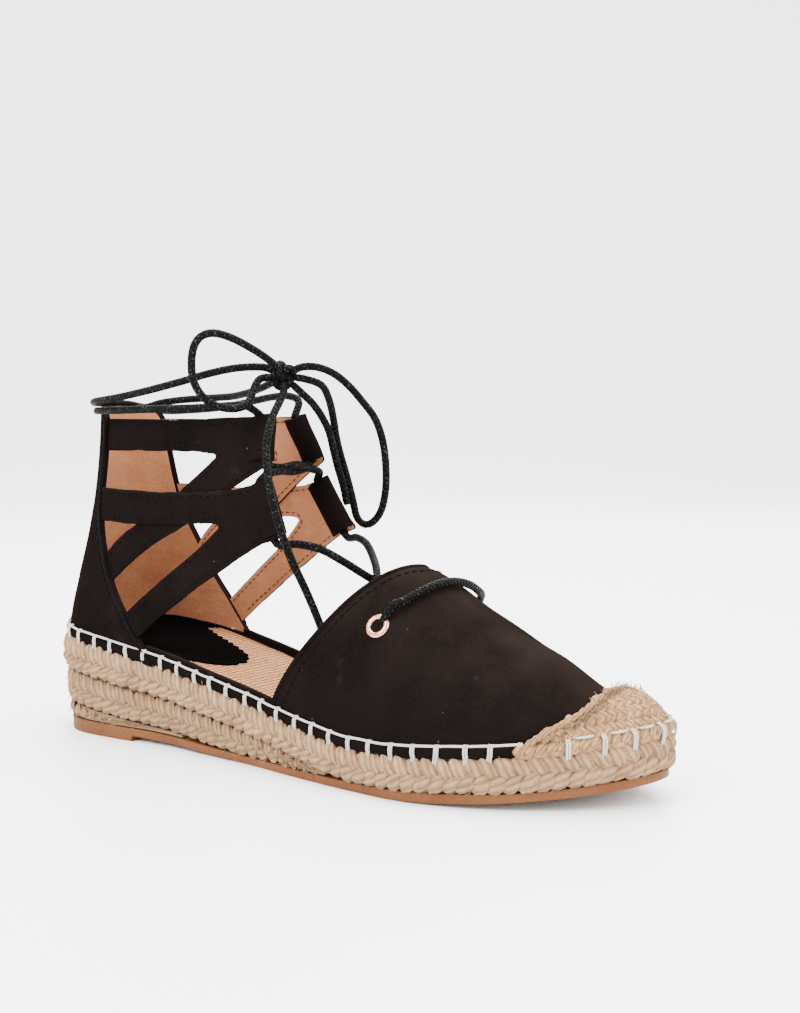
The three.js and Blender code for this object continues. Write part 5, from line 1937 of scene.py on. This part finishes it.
class ESPADRILLE_OT_fibres(Builder):
    """Scatter the loose jute hairs over the braid and the toe cap."""

    bl_idname = "espadrille.fibres"
    bl_label = "Stray fibres"

    def build(self, sizes):
        rng = random.Random(3)
        shape = Shape()
        courses = course_rows()
        for _ in range(sizes.fibre_count):
            course = courses[rng.choices((0, 1, 2), (0.5, 0.35, 0.15))[0]]
            a = rng.uniform(0, ROUND.length)
            x, _ = ROUND.spot(a)
            if x > course["to"] - 2 or course["high"](x) - course["low"](x) < 2:
                continue
            p, out = course_point(course, a, rng.uniform(0.04, 0.96), 0.4)
            self.hair(shape, rng, p, out, rng.uniform(1.4, 4.2))
        for _ in range(sizes.fibre_count // 6):
            inset = rng.uniform(1.5, 22)
            ring_x, outer, inner = edge_at(rng.uniform(0.72, 0.99), inset)
            y = rng.uniform(outer, inner)
            if ring_x < line_x(CAP_EDGE, ring_x, y):
                continue
            p = Vector((ring_x, y, cap_height(ring_x, y)))
            self.hair(shape, rng, p, Vector((rng.uniform(-0.3, 0.5), rng.uniform(-0.5, 0.5),
                                             1)).normalized(),
                      rng.uniform(1.5, 4.6))
        for _ in range(sizes.fibre_count // 8):
            angle = math.pi * rng.uniform(0.03, 0.97)
            p = vamp_point(vamp_start(CAP_EDGE, angle) - rng.uniform(-0.006, 0.003), angle, 2.6)
            self.hair(shape, rng, p, Vector((-0.8, rng.uniform(-0.6, 0.6), 0.6)).normalized(),
                      rng.uniform(1.5, 5.5))
        shape.corners = [tuple((0.25, uv[1]) for uv in face) for face in shape.corners]
        piece = shape.piece("jute_fibres", [finish_named("Braided jute")])
        shown(piece, "jute")

    @staticmethod
    def hair(shape, rng, p, out, long):
        wander = Vector((rng.uniform(-1, 1), rng.uniform(-1, 1), rng.uniform(-1, 1))).normalized()
        way = (out * rng.uniform(0.2, 0.75) + wander * 0.8).normalized()
        curl = Vector((rng.uniform(-1, 1), rng.uniform(-1, 1), rng.uniform(-1, 1))) * 0.9
        path = [p - out * 0.5]
        q = p.copy()
        for _ in range(4):
            path.append(q.copy())
            q += way * (long / 4)
            way = (way + curl * 0.35).normalized()
        sweep(shape, path, 0.1, sides=3, tip=0.5, start=0.25)


# ------------------------------------------------------------------ panel and running order
STEPS = (
    ESPADRILLE_OT_materials, ESPADRILLE_OT_stage, ESPADRILLE_OT_free_lace, ESPADRILLE_OT_laced,
    ESPADRILLE_OT_outsole, ESPADRILLE_OT_sole, ESPADRILLE_OT_insole, ESPADRILLE_OT_vamp,
    ESPADRILLE_OT_counter, ESPADRILLE_OT_straps, ESPADRILLE_OT_foxing, ESPADRILLE_OT_toe_cap,
    ESPADRILLE_OT_fibres,
)


class ESPADRILLE_PT_panel(bpy.types.Panel):
    """Lists the shoe's sizes and its pieces."""

    bl_label = "Espadrille"
    bl_idname = "ESPADRILLE_PT_panel"
    bl_space_type = "VIEW_3D"
    bl_region_type = "UI"
    bl_category = "Espadrille"

    def draw(self, context):
        column = self.layout.column()
        for settings in (context.scene.espadrille, context.scene.espadrille_stage):
            for name in settings.__annotations__:
                column.prop(settings, name)
        for step in STEPS:
            column.operator(step.bl_idname)


CLASSES = (EspadrilleSizes, EspadrilleStage, *STEPS, ESPADRILLE_PT_panel)


def register():
    for cls in CLASSES:
        bpy.utils.register_class(cls)
    bpy.types.Scene.espadrille = bpy.props.PointerProperty(type=EspadrilleSizes)
    bpy.types.Scene.espadrille_stage = bpy.props.PointerProperty(type=EspadrilleStage)


def unregister():
    del bpy.types.Scene.espadrille_stage
    del bpy.types.Scene.espadrille
    for cls in reversed(CLASSES):
        bpy.utils.unregister_class(cls)


def main():
    register()
    for step in STEPS:
        group, name = step.bl_idname.split(".")
        getattr(getattr(bpy.ops, group), name)()


if __name__ == "__main__":
    main()
